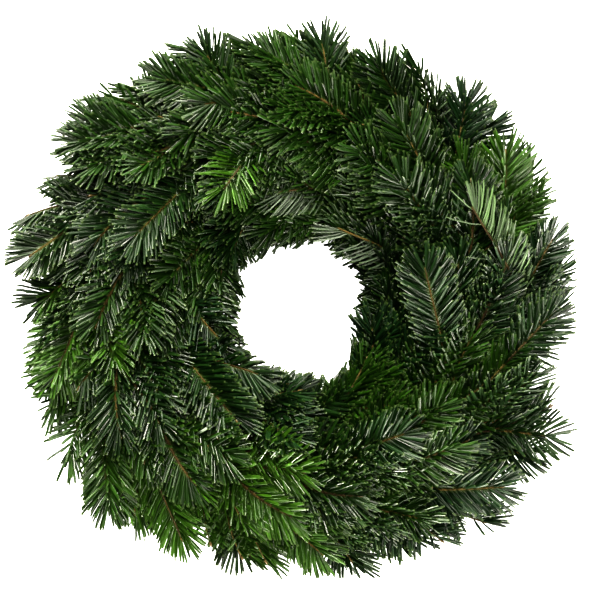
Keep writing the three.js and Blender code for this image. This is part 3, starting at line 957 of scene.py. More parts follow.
def make_bud_pattern():
    """One bud, along +X: an egg of a few scales, narrow at its foot and pointed at its tip."""
    middle = (0.5, 0, 0)
    deselect_all()
    bpy.ops.mesh.primitive_uv_sphere_add(segments=6, ring_count=5, radius=0.5, location=middle)
    bud = active_piece("bud_pattern")
    bpy.ops.object.mode_set(mode="EDIT")
    bpy.ops.mesh.select_all(action="SELECT")
    bpy.ops.transform.rotate(value=math.pi / 2, orient_axis="Y", center_override=middle)
    bpy.ops.object.mode_set(mode="OBJECT")
    settle(bud)
    for start, stop, centre, wide in bud_ends:
        select_where(bud, lambda place, low=start, high=stop: low < place.x < high)
        bpy.ops.transform.resize(value=(1, wide, wide), center_override=(centre, 0, 0))
    bpy.ops.mesh.select_all(action="SELECT")
    bpy.ops.mesh.normals_make_consistent(inside=False)
    bpy.ops.object.mode_set(mode="OBJECT")
    pattern = Pattern(bud)
    x, y, z = pattern.places[pattern.corners].T
    pattern.surface = np.stack([np.arctan2(z, y) / (2 * math.pi) + 0.5, x], 1)
    return pattern


def placed(pattern, feet, directions, wides, normals, lengths, widths, bends):
    """Copies of a pattern, each at its own foot and turned, sized and bent in its own way."""
    x = pattern.places[None, :, 0, None]
    y = pattern.places[None, :, 1, None]
    z = pattern.places[None, :, 2, None]
    copies = feet[:, None, :] + directions[:, None, :] * (x * lengths[:, None, None])
    copies = copies + wides[:, None, :] * (y * widths[:, None, None])
    copies = copies + normals[:, None, :] * (z * widths[:, None, None])
    return copies + bends[:, None, :] * x * x


def needle_plan(limb, dice, looks, first):
    """Where the needles of a limb grow, which way they point, and how each is sized and bent."""
    values = scene_values().needles
    last = limb.length - end_gap_mm
    count = int((last - first) * values.per_mm * looks["density"])
    index = np.arange(count)
    shares = (index + dice.uniform(*place_span, count)) / count
    distances = first + (last - first) * (1 - (1 - shares) ** values.crowding)
    places, directions, sideways, upward = limb.frames(distances)
    over = np.where(distances > limb.length * looks["turned_from"], -1.0, 1.0)[:, None]
    sideways = sideways * over
    upward = upward * over
    hands = np.where(index % 2, -1.0, 1.0)
    left_out = (hands == -looks["one_sided"]) & (dice.uniform(0, 1, count) > one_sided_rest)
    ranks = (index // 2) % len(needle_ranks)
    spread = np.array([looks[rank] for rank in needle_ranks])[ranks]
    spread = np.abs(spread + dice.normal(0, spread_scatter, count))
    aside = np.clip(spread / full_side, 0, 1)
    ending = np.clip((distances - (limb.length - values.brush / MM)) / (values.brush / MM), 0, 1)
    starting = np.clip((distances - first) / foot_stretch_mm, 0, 1)
    lean = looks["top_lean"] + (values.lean - looks["top_lean"]) * aside
    stray = 1 + stray_scatter * (dice.uniform(0, 1, count) < strays)
    lean = lean * (1 - end_straightening * ending**end_straightening_power)
    lean = lean + dice.normal(0, lean_scatter, count) * stray
    radial = upward * np.cos(spread)[:, None] + sideways * (hands * np.sin(spread))[:, None]
    pointing = unit(directions * np.cos(lean)[:, None] + radial * np.sin(lean)[:, None])
    length = values.length / MM * (top_length + (1 - top_length) * aside)
    length = length * dice.uniform(*needle_length_span, count)
    length = length * (1 - end_shortening * ending) * (1 - foot_shortening + foot_shortening * starting)
    facing = upward - directions * facing_tilt
    normals = unit(facing - pointing * np.sum(facing * pointing, 1)[:, None])
    twist = dice.normal(0, values.twist, count)
    twist = twist * (1 + twisted_scatter * (dice.uniform(0, 1, count) < twisted))
    normals = normals * np.cos(twist)[:, None] + np.cross(pointing, normals) * np.sin(twist)[:, None]
    curl = directions * dice.normal(looks["curl"], curl_scatter, count)[:, None]
    curl = curl + upward * dice.normal(rise_curl, curl_scatter, count)[:, None]
    curl = (curl - pointing * np.sum(curl * pointing, 1)[:, None]) * length[:, None]
    feet = places + radial * (bark_radius(limb, distances) * foot_depth)[:, None]
    widths = dice.uniform(*needle_width_span, count) * (1 - end_slimming * ending) * looks["slim"]
    return [part[~left_out] for part in (feet, pointing, normals, length, widths, curl)]


def kept_needles(sprig, dice, looks, feet, pointing, length, curl):
    """Which needles stay: clear of the ground, the straw, the hole and the space round the wreath."""
    tips = feet + pointing * length[:, None] + curl
    middles = feet + pointing * (length / 2)[:, None] + curl / 4
    reach = np.hypot(tips[:, 0], tips[:, 1])
    from_tip = np.arctan2(tips[:, 1], tips[:, 0]) - sprig["tip_angle"]
    from_tip = np.abs((from_tip + math.pi) % (2 * math.pi) - math.pi)
    notch = np.clip((from_tip - notch_from) * notch_slope_mm, 0, notch_deepest_mm)
    furthest = looks["furthest"] + dice.uniform(*ragged_reach_mm, len(feet)) - notch
    centre = ring_centre_mm()
    values = scene_values().needles
    past = np.array([values.past_box, values.past_box, values.past_top]) / MM
    low = np.array(cad_box[0]) / MM - centre - past
    high = np.array(cad_box[1]) / MM - centre + past
    kept = np.all((tips[:, :2] > low[:2]) & (tips[:, :2] < high[:2]), 1) & (tips[:, 2] < high[2])
    ragged = dice.uniform(*ragged_hole_mm, len(feet))
    edges = np.linspace(0, 2 * math.pi, len(hole_edge_mm) + 1)
    tip_angles = np.arctan2(tips[:, 1], tips[:, 0]) % (2 * math.pi)
    nearest = np.interp(tip_angles, edges, hole_edge_mm + hole_edge_mm[:1])
    kept = kept & (reach > nearest - ragged) & (reach < furthest)
    for places in (tips, middles):
        kept = kept & (places[:, 2] > above_ground_mm) & (outside_straw(places) > -into_straw_mm)
    return kept


def clothe(batch, sprig, limb, dice, looks, first, pattern):
    """Grows needles along a limb, from a first distance to its tip."""
    plan = needle_plan(limb, dice, looks, first)
    feet, pointing, _, length, _, curl = plan
    kept = kept_needles(sprig, dice, looks, feet, pointing, length, curl)
    feet, pointing, normals, length, widths, curl = [part[kept] for part in plan]
    wides = np.cross(normals, pointing)
    copies = placed(pattern, feet, pointing, wides, normals, length, widths / MM, curl)
    fresh = np.clip(looks["fresh"] + dice.normal(0, needle_fresh_scatter, len(feet)), 0, 1)
    tint = dice.uniform(0, 1, len(feet))
    batch.add_copies(pattern, copies, needle_finish, tint, fresh)


def rings_round(places, sideways, upward, radii, sides):
    """A ring of points round each of many places. The radii may differ from side to side."""
    turns = 2 * math.pi * np.arange(sides) / sides
    return (
        places[:, None, :]
        + sideways[:, None, :] * (radii * np.cos(turns))[..., None]
        + upward[:, None, :] * (radii * np.sin(turns))[..., None]
    )


def tube_faces(count, sides, distances, closed=False):
    """Four-sided faces between rings of points, and where each corner lies round and along the surface."""
    i = np.arange(count if closed else count - 1)[:, None]
    j = np.arange(sides)[None, :]
    k = (j + 1) % sides
    following = (i + 1) % count
    corners = np.stack([i * sides + j, i * sides + k, following * sides + k, following * sides + j], -1)
    run = distances / unrolled_mm
    around = np.stack([edge / sides + 0 * i for edge in (j, j + 1, j + 1, j)], -1)
    lengths = np.stack([run[edge] + 0 * j for edge in (i, i, i + 1, i + 1)], -1)
    return corners.reshape(-1, 4), np.stack([around, lengths], -1).reshape(-1, 2)


def add_bark(batch, limb, dice, sides=6, spacing=3.0):
    """A closed tube along a limb, uneven where needles sit on it."""
    count = max(4, int(limb.length / spacing))
    distances = np.linspace(0, limb.length, count + 1)
    places, directions, sideways, upward = limb.frames(distances)
    swell = 1 + dice.uniform(*bark_swell, (count + 1, sides))
    rings = rings_round(places, sideways, upward, bark_radius(limb, distances)[:, None] * swell, sides)
    ends = [places[:1], places[-1:] + directions[-1:] * bark_point_mm]
    points = np.vstack([rings.reshape(-1, 3), *ends])
    quads, surface = tube_faces(count + 1, sides, distances)
    start = len(points) - 2
    end = len(points) - 1
    caps = []
    cap_surface = []
    for j in range(sides):
        k = (j + 1) % sides
        caps += [start, k, j, end, count * sides + j, count * sides + k]
        cap_surface += [(j / sides, 0.0)] * 3 + [(j / sides, distances[-1] / unrolled_mm)] * 3
    corners = np.concatenate([quads.ravel(), caps])
    sizes = np.repeat([4, 3], [len(quads), 2 * sides])
    surface = np.vstack([surface, cap_surface])
    batch.add(points[None], corners, sizes, bark_finish, surface, dice.uniform(0, 1))


def add_buds(batch, limb, dice, pattern, leans=bud_leans):
    """A bud at the end of a limb, with a smaller one on either side unless told otherwise."""
    places, directions, sideways, upward = limb.frames(np.array([limb.length]))
    size = scene_values().twigs.bud_length / MM
    for lean, share in leans:
        rise = dice.normal(0, bud_scatter)
        pointing = unit(directions * math.cos(lean) + sideways * math.sin(lean) + upward * rise)
        wides = unit(np.cross(upward, pointing))
        normals = np.cross(pointing, wides)
        length = np.array([size * share * dice.uniform(*bud_length_span)])
        widths = length * bud_width_share
        feet = places - pointing * bud_sunk_mm
        copies = placed(pattern, feet, pointing, wides, normals, length, widths, np.zeros((1, 3)))
        batch.add_copies(pattern, copies, bud_finish, dice.uniform(0, 1))


def looks_of(sprig, dice):
    """How a sprig's needles stand and how green they are."""
    looks = {
        "fresh": float(np.clip(dice.normal(fresh_middle, fresh_scatter), *fresh_limits)),
        "turned_from": 1.0,
        "one_sided": 0,
        "curl": plain_curl,
        "slim": 1.0,
        "furthest": sprig["furthest"],
        "density": row_density[sprig["row"]["name"]],
    }
    for name, span in needle_spans.items():
        looks[name] = math.radians(dice.uniform(*span))
    looks.update(sprig_looks.get(sprig["name"], {}))
    return looks


class Recipe:
    """A material in the making. Its methods add nodes, and take and return sockets, numbers and colours."""

    def __init__(self, name, **sockets):
        self.material = bpy.data.materials.new(name)
        self.material.use_nodes = True
        self.nodes = self.material.node_tree.nodes
        self.shader = self.nodes["Principled BSDF"]
        self.finish(**sockets)

    def finish(self, **sockets):
        """Sets or links the shader's own sockets, which are named with _ for a space."""
        for name, value in sockets.items():
            self.feed(self.shader.inputs[name.replace("_", " ")], value)
        return self.material

    def feed(self, socket, value):
        if isinstance(value, bpy.types.NodeSocket):
            self.material.node_tree.links.new(value, socket)
        elif isinstance(value, (int, float)):
            socket.default_value = value
        else:
            socket.default_value = (*value, 1)

    def node(self, kind, inputs=None, **settings):
        node = self.nodes.new(kind)
        for key, value in settings.items():
            setattr(node, key, value)
        for key, value in (inputs or {}).items():
            self.feed(node.inputs[key], value)
        return node

    def surface(self):
        """The piece's own map: round its shape, and along it."""
        return self.node("ShaderNodeUVMap", uv_map="surface").outputs[0]

    def attribute(self, name):
        return self.node("ShaderNodeAttribute", attribute_name=name).outputs["Fac"]

    def math(self, operation, *values, clamp=False):
        inputs = dict(enumerate(values))
        return self.node("ShaderNodeMath", inputs, operation=operation, use_clamp=clamp).outputs[0]

    def ramp(self, factor, *stops):
        """A colour ramp with stops given as a place and a colour or grey."""
        ramp = self.node("ShaderNodeValToRGB", {0: factor})
        elements = ramp.color_ramp.elements
        while len(elements) < len(stops):
            elements.new(0.5)
        for element, (place, colour) in zip(elements, stops):
            element.position = place
            element.color = (colour, colour, colour, 1) if isinstance(colour, float) else (*colour, 1)
        return ramp.outputs[0]

    def mix(self, factor, first, second, blend="MIX"):
        inputs = {0: factor, 6: first, 7: second}
        return self.node("ShaderNodeMix", inputs, data_type="RGBA", blend_type=blend).outputs[2]

    def times(self, first, second):
        return self.mix(1.0, first, second, "MULTIPLY")

    def noise(self, scale, detail=3.0, where=None):
        """Noise in object coordinates, or along another socket."""
        if where is None:
            where = self.node("ShaderNodeTexCoord").outputs["Object"]
        inputs = {"Scale": scale, "Detail": detail, "Vector": where}
        return self.node("ShaderNodeTexNoise", inputs).outputs["Fac"]

    def bump(self, height, strength, distance):
        inputs = {"Strength": strength, "Distance": distance, "Height": height}
        return self.node("ShaderNodeBump", inputs).outputs["Normal"]


def needle_material():
    """Waxy green blade, shallowly grooved, with painted shade along its middle and painted highlights at its
    edges, a pale foot, a slightly paler tip lit by a painted highlight, and two silvery bands underneath.
    """
    colours = scene_values().colours
    recipe = Recipe("fir_needle", Specular_IOR_Level=0.55)
    split = recipe.node("ShaderNodeSeparateXYZ", {0: recipe.surface()})
    round_it = split.outputs[0]
    along_it = split.outputs[1]
    under = recipe.math("GREATER_THAN", round_it, 1.001)
    centred = recipe.math("SUBTRACT", recipe.math("FRACT", round_it), 0.5)
    across = recipe.math("MULTIPLY", recipe.math("ABSOLUTE", centred), 2.0)
    fresh = recipe.attribute("fresh")
    tint = recipe.attribute("tint")
    wander = recipe.math("MULTIPLY_ADD", recipe.noise(28.0), 0.22, -0.11)
    green = recipe.ramp(
        recipe.math("ADD", fresh, wander, clamp=True),
        (0.0, colours.blue_green),
        (0.4, colours.dark_green),
        (0.7, colours.mid_green),
        (1.0, colours.young_green),
    )
    shade = recipe.ramp(tint, (0.0, 0.45), (0.5, 1.0), (1.0, 1.7))
    mottle = recipe.ramp(recipe.noise(220.0), (0.3, 0.8), (0.7, 1.15))
    # Painted shade and highlight: the blade is darkened along its middle line as painted shade, and lightened
    # at its edges as a painted highlight.
    groove_shade_edge_highlight = recipe.ramp(across, (0.0, 0.72), (0.16, 1.0), (0.8, 1.0), (1.0, 1.3))
    for darker in (shade, mottle, groove_shade_edge_highlight):
        green = recipe.times(green, darker)
    foot = recipe.ramp(along_it, (0.0, 1.0), (0.12, 0.0))
    # A painted highlight: towards its end the blade is mixed to a pale tip colour. This stands both for a tip
    # that is a little paler of itself and for light caught on its blunt end.
    tip = recipe.ramp(along_it, (0.9, 0.0), (0.98, 0.7))
    green = recipe.mix(foot, green, colours.needle_foot)
    green = recipe.mix(tip, green, colours.needle_tip_highlight)
    bands = recipe.ramp(across, (0.2, 0.0), (0.34, 1.0), (0.46, 1.0), (0.62, 0.0))
    blade = recipe.ramp(along_it, (0.05, 0.0), (0.12, 1.0), (0.9, 1.0), (0.97, 0.0))
    bands = recipe.math("MULTIPLY", recipe.math("MULTIPLY", bands, under), blade)
    lighter = recipe.mix(under, green, recipe.mix(0.12, green, colours.underside))
    paler = recipe.ramp(fresh, (0.1, 0.45), (0.9, 1.0))
    silver = recipe.times(recipe.times(colours.underside, shade), paler)
    wax = recipe.ramp(tint, (0.0, 0.29), (1.0, 0.46))
    profile = recipe.ramp(across, (0.0, 0.0), (0.22, 0.7), (0.6, 1.0), (1.0, 0.55))
    return recipe.finish(
        Base_Color=recipe.mix(bands, lighter, silver),
        Roughness=recipe.mix(bands, wax, (0.6, 0.6, 0.6)),
        Normal=recipe.bump(profile, 0.5, 0.0002),
    )


def bark_material():
    """Olive to orange-brown bark of young twigs, finely cracked along the twig."""
    colours = scene_values().colours
    recipe = Recipe("fir_bark", Specular_IOR_Level=0.3)
    patches = recipe.noise(90.0, 4.0)
    cracks = recipe.noise(7.0, 5.0, recipe.surface())
    wood = recipe.ramp(
        recipe.math("MULTIPLY_ADD", recipe.attribute("tint"), 0.5, patches),
        (0.3, colours.olive_bark),
        (0.65, colours.orange_bark),
        (1.0, colours.dark_bark),
    )
    return recipe.finish(
        Base_Color=recipe.times(wood, recipe.ramp(cracks, (0.35, 0.45), (0.6, 1.15))),
        Roughness=recipe.ramp(patches, (0.3, 0.6), (0.7, 0.85)),
        Normal=recipe.bump(cracks, 0.6, 0.0004),
    )


def bud_material():
    """Red-brown bud scales under a little resin."""
    colours = scene_values().colours
    recipe = Recipe("fir_bud", Coat_Weight=0.3, Coat_Roughness=0.25)
    inputs = {"Scale": 5.0, "Vector": recipe.surface()}
    scales = recipe.node("ShaderNodeTexVoronoi", inputs).outputs["Distance"]
    return recipe.finish(
        Base_Color=recipe.ramp(scales, (0.1, colours.bud), (0.6, colours.orange_bark)),
        Roughness=recipe.ramp(recipe.noise(300.0), (0.3, 0.3), (0.7, 0.55)),
        Normal=recipe.bump(scales, 0.5, 0.0003),
    )


def straw_material():
    """Golden straw stalks with fine lines along them, each stalk a little lighter or darker."""
    colours = scene_values().colours
    recipe = Recipe("straw_stalk", Specular_IOR_Level=0.4)
    stretched = recipe.node("ShaderNodeMapping", {"Vector": recipe.surface()})
    stretched.inputs["Scale"].default_value = (9.0, 0.6, 1.0)
    lines = recipe.noise(3.0, 4.0, stretched.outputs[0])
    patches = recipe.math("MULTIPLY", recipe.noise(35.0), 0.4)
    golden = recipe.ramp(
        recipe.math("MULTIPLY_ADD", recipe.attribute("tint"), 0.7, patches),
        (0.1, colours.straw_dark),
        (0.5, colours.straw),
        (0.95, colours.straw_pale),
    )
    return recipe.finish(
        Base_Color=recipe.times(golden, recipe.ramp(lines, (0.35, 0.6), (0.65, 1.15))),
        Roughness=recipe.ramp(lines, (0.3, 0.6), (0.7, 0.42)),
        Normal=recipe.bump(lines, 0.5, 0.0003),
    )


def thread_material():
    """Pale yarn that holds the straw together, with the slant of its twist."""
    colours = scene_values().colours
    recipe = Recipe("straw_thread", Roughness=0.8)
    inputs = {"Scale": 3.0, "Distortion": 1.0, "Vector": recipe.surface()}
    twist = recipe.node("ShaderNodeTexWave", inputs, bands_direction="DIAGONAL").outputs["Fac"]
    return recipe.finish(
        Base_Color=recipe.ramp(twist, (0.2, colours.straw_dark), (0.7, colours.thread)),
        Normal=recipe.bump(twist, 0.6, 0.0002),
    )


def wire_material():
    """Dark green lacquer, rubbed thin here and there."""
    colours = scene_values().colours
    recipe = Recipe("wire_lacquer", Coat_Weight=0.4, Coat_Roughness=0.2)
    rubbed = recipe.ramp(recipe.noise(130.0, 4.0), (0.6, 0.0), (0.72, 1.0))
    return recipe.finish(
        Base_Color=recipe.mix(rubbed, colours.wire, colours.wire_rubbed),
        Roughness=recipe.ramp(rubbed, (0.0, 0.32), (1.0, 0.5)),
    )


def lit_paper(name, glow, one_sided):
    """White paper that is lit evenly. One-sided paper doesn't hide what lies on it from below."""
    recipe = Recipe(f"{name}_paper", Roughness=0.9, Specular_IOR_Level=0.1)
    if one_sided:
        behind = recipe.node("ShaderNodeNewGeometry").outputs["Backfacing"]
        recipe.finish(Alpha=recipe.math("SUBTRACT", 1.0, behind))
    grain = recipe.ramp(recipe.noise(40.0), (0.3, 0.9), (0.7, 0.92))
    return recipe.finish(Base_Color=grain, Emission_Color=(1, 1, 1), Emission_Strength=glow)


fir_finishes = [("fir_needle", needle_material), ("fir_bark", bark_material), ("fir_bud", bud_material)]
straw_finishes = [("straw_stalk", straw_material), ("straw_thread", thread_material)]
wire_finishes = [("wire_lacquer", wire_material)]


def made_once(finishes):
    """The named materials, each made when it is first asked for."""
    return [bpy.data.materials.get(name) or make() for name, make in finishes]


class WREATH_OT_sprigs(bpy.types.Operator):
    """Grow one row of fir sprigs, from their twigs to their needles and buds"""

    bl_idname = "wreath.sprigs"
    bl_label = "Row of sprigs"

    row: bpy.props.EnumProperty(
        name="Row",
        description="Which row of sprigs to grow",
        items=[(row["name"], row["name"].capitalize(), f"The {row['name']} row") for row in rows],
    )

    def execute(self, context):
        needle = make_needle_pattern()
        bud = make_bud_pattern()
        grown = [sprig for sprig in dressed_sprigs() if sprig["row"]["name"] == self.row]
        if len(grown) != bunches:
            raise RuntimeError(f"the {self.row} row has {len(grown)} sprigs")
        for sprig in grown:
            dice = np.random.default_rng(sprig["seed"] + needle_seed)
            looks = looks_of(sprig, dice)
            batch = Batch()
            main = sprig["main"]
            clothe(batch, sprig, main, dice, looks, first_twig_needle_mm, needle)
            add_bark(batch, main, dice)
            add_buds(batch, main, dice, bud)
            for shoot in sprig["shoots"]:
                clothe(batch, sprig, shoot, dice, {**looks, **shoot.looks}, first_shoot_needle_mm, needle)
                add_bark(batch, shoot, dice, sides=5, spacing=4.5)
                if dice.uniform() < shoots_with_bud:
                    add_buds(batch, shoot, dice, bud, leans=bud_leans[:1])
            batch.piece(f"{sprig['name']}_looks", fir_finishes, sprig["name"], "fir")
        return {"FINISHED"}


def near_wire(angle):
    """How near an angle is to where the wire runs under the ring, from 0 far off to 1 at the wire."""
    turn = (angle - winding_start + pitch / 2) % pitch - pitch / 2
    share = np.clip(1.0 - np.abs(turn) * ring_radius_mm / groove_half_width_mm, 0, 1)
    return share * share * (3 - 2 * share)


def round_section(places_along, inset):
    """Points round the straw's section at distances along its edge, moved inwards by an inset."""
    corners = np.array(straw_section_mm, dtype=float)
    sides = np.roll(corners, -1, axis=0) - corners
    lengths = np.linalg.norm(sides, axis=1)
    ends = np.concatenate([[0], np.cumsum(lengths)])
    wrapped = np.asarray(places_along) % ends[-1]
    closed = np.vstack([corners, corners[:1]])
    inwards = np.stack([-sides[:, 1], sides[:, 0]], 1) / lengths[:, None]
    mid = (ends[:-1] + ends[1:]) / 2
    around = np.concatenate([[mid[-1] - ends[-1]], mid, [mid[0] + ends[-1]]])
    turn = np.vstack([inwards[-1:], inwards, inwards[:1]])
    offset = np.interp(wrapped, ends, closed[:, 0])
    height = np.interp(wrapped, ends, closed[:, 1])
    inward = unit(np.stack([np.interp(wrapped, around, turn[:, a]) for a in range(2)], -1))
    return offset + inward[..., 0] * inset, height + inward[..., 1] * inset


def straw_perimeter():
    corners = np.array(straw_section_mm, dtype=float)
    return float(np.linalg.norm(np.roll(corners, -1, axis=0) - corners, axis=1).sum())


def straw_height(angle, height, lowest):
    """A height on the straw, raised over the wire where that crosses the back, and over the lowest."""
    on_back = np.clip(1 - height / back_height_mm, 0, 1)
    return np.maximum(height + groove_depth_mm * near_wire(angle) * on_back, lowest)


def points_round(angles, offset, height):
    """Points round the ring, at an offset from its middle line and at a height."""
    reach = ring_radius_mm + offset
    return np.stack([reach * np.cos(angles), reach * np.sin(angles), height + 0 * angles], 1)


def off_middle(points, angles):
    """Which way points lie from the middle of the straw's section."""
    return unit(points - points_round(angles, 0, section_middle_mm))


def tube_along(batch, points, ups, radii, sides, finish, tint, closed=False):
    """A tube through points. It is closed on itself, or has an end cap at each end."""
    count = len(points)
    if closed:
        tangents = unit(np.roll(points, -1, axis=0) - np.roll(points, 1, axis=0))
    else:
        tangents = unit(np.gradient(points, axis=0))
    across = unit(np.cross(ups, tangents))
    rings = rings_round(points, across, np.cross(tangents, across), radii[:, None], sides)
    route = np.vstack([points, points[:1]]) if closed else points
    distances = np.concatenate([[0], np.cumsum(np.linalg.norm(np.diff(route, axis=0), axis=1))])
    quads, surface = tube_faces(count, sides, distances, closed)
    corners = quads.ravel()
    sizes = np.full(len(quads), 4)
    if not closed:
        cap = np.arange(sides)
        corners = np.concatenate([corners, cap[::-1], (count - 1) * sides + cap])
        sizes = np.append(sizes, [sides, sides])
        for distance in (0, distances[-1]):
            surface = np.vstack([surface, np.stack([cap / sides, 0 * cap + distance / unrolled_mm], 1)])
    batch.add(rings.reshape(1, -1, 3), corners, sizes, finish, surface, tint)


class WREATH_OT_straw_ring(bpy.types.Operator):
    """Bundle straw stalks into the ring under the sprigs, and wind thread round it"""

    bl_idname = "wreath.straw_ring"
    bl_label = "Straw ring"

    def execute(self, context):
        values = scene_values().straw
        dice = np.random.default_rng(straw_seed)
        core = self.spun_core()
        batch = Batch()
        # Painted shade: the core is tinted dark straw, as shade where it shows between the stalks.
        batch.add_copies(core, core.places[None] / MM, stalk_finish, core_painted_shade_tint)
        perimeter = straw_perimeter()
        for i in range(values.stalks):
            radius = dice.uniform(*stalk_radius_span) * values.stalk_radius / MM
            middle = perimeter * (i + dice.uniform(0, 1)) / values.stalks
            run = dice.uniform(*stalk_run_mm)
            start = dice.uniform(0, 2 * math.pi)
            steps = max(stalk_least_steps, int(run / stalk_step_mm))
            angles = start + np.linspace(0, run / ring_radius_mm, steps)
            drift = np.linspace(-1, 1, steps) * dice.normal(0, stalk_drift_scatter_mm)
            drift = drift + dice.normal(0, stalk_waver_scatter_mm, steps)
            inset = radius * stalk_inset_share + stalk_inset_mm + dice.uniform(*stalk_depth_mm)
            offset, height = round_section(middle + drift, inset)
            height = straw_height(angles, height, radius + stalk_ground_gap_mm)
            points = points_round(angles, offset, height)
            radii = np.full(steps, radius)
            radii[[0, -1]] = radius * stalk_end_share
            ups = np.array([[0, 0, 1.0]])
            tube_along(batch, points, ups, radii, stalk_sides, stalk_finish, dice.uniform(0, 1))
        steps = values.thread_turns * thread_steps_per_turn
        along_thread = np.arange(steps) / steps
        angles = along_thread * 2 * math.pi + winding_start + pitch / 2
        radius = values.thread_radius / MM
        offset, height = round_section(along_thread * values.thread_turns * perimeter, thread_inset_mm)
        height = straw_height(angles, height, radius + thread_ground_gap_mm)
        points = points_round(angles, offset, height)
        ups = off_middle(points, angles)
        radii = np.full(steps, radius)
        tube_along(batch, points, ups, radii, thread_sides, thread_finish, plain_tint, closed=True)
        batch.piece("straw_ring_looks", straw_finishes, "straw_ring", "straw")
        return {"FINISHED"}

    def spun_core(self):
        """The straw under the outer stalks, spun from the ring's section."""
        reach = ring_radius_mm * MM
        middle = (reach, 0, section_middle_mm * MM)
        deselect_all()
        sides = len(straw_section_mm)
        upright = (math.pi / 2, 0, 0)
        bpy.ops.mesh.primitive_circle_add(
            vertices=sides, radius=core_circle_radius, fill_type="NOTHING", location=middle, rotation=upright
        )
        core = active_piece("straw_core")
        settle(core)
        bpy.ops.object.mode_set(mode="EDIT")
        bpy.ops.mesh.select_all(action="SELECT")
        bpy.ops.transform.rotate(value=math.pi / sides, orient_axis="Y", center_override=middle)
        bpy.ops.object.mode_set(mode="OBJECT")
        # The circle's four levels are widened and moved, one by one, to those of the straw's section.
        levels = sorted({round(vertex.co.z, 5) for vertex in core.data.vertices})
        shrunk = scene_values().straw.stalk_radius * core_inset_share
        lowest = groove_depth_mm * MM + shrunk * core_back_share
        highest = straw_section_mm[3][1] * MM - shrunk
        for level, (offset, height) in zip(levels, straw_section_mm):
            select_where(core, lambda place, at=level: abs(place.z - at) < 1e-4)
            spots = [vertex.co.x - reach for vertex in core.data.vertices if abs(vertex.co.z - level) < 1e-4]
            wide = (offset * MM - shrunk) / max(spots)
            rise = min(max(height * MM, lowest), highest) - level
            bpy.ops.transform.resize(value=(wide, 1, 1), center_override=(reach, 0, level))
            bpy.ops.transform.translate(value=(0, 0, rise))
        bpy.ops.mesh.select_all(action="SELECT")
        bpy.ops.mesh.spin(steps=core_steps, angle=2 * math.pi, center=(0, 0, 0), axis=(0, 0, 1))
        bpy.ops.mesh.select_all(action="SELECT")
        bpy.ops.mesh.remove_doubles(threshold=1e-5)
        bpy.ops.mesh.normals_make_consistent(inside=False)
        bpy.ops.object.mode_set(mode="OBJECT")
        pattern = Pattern(core)
        x, y, z = pattern.places[pattern.corners].T
        around = np.arctan2(y, x) * ring_radius_mm / unrolled_mm
        pattern.surface = np.stack([z * core_map_rise, around], 1)
        return pattern


class WREATH_OT_binding_wire(bpy.types.Operator):
    """Wind one wire round the ring, under the straw and over the stems of each bunch"""

    bl_idname = "wreath.binding_wire"
    bl_label = "Binding wire"

    def execute(self, context):
        values = scene_values().wire
        corners = np.array(wire_line())
        points = []
        for i, corner in enumerate(corners):
            before = corners[i - 1] - corner
            after = corners[(i + 1) % len(corners)] - corner
            shorter = min(np.linalg.norm(before), np.linalg.norm(after))
            cut = min(values.corner / MM, shorter * corner_share)
            start = corner + unit(before) * cut
            end = corner + unit(after) * cut
            for share in corner_steps:
                points.append(start * (1 - share) ** 2 + corner * 2 * share * (1 - share) + end * share**2)
        points = np.array(points)
        ups = off_middle(points, np.arctan2(points[:, 1], points[:, 0]))
        batch = Batch()
        radii = np.full(len(points), wire_radius_mm)
        tube_along(batch, points, ups, radii, values.sides, wire_finish, plain_tint, closed=True)
        batch.piece("binding_wire_looks", wire_finishes, "binding_wire", "wire")
        return {"FINISHED"}


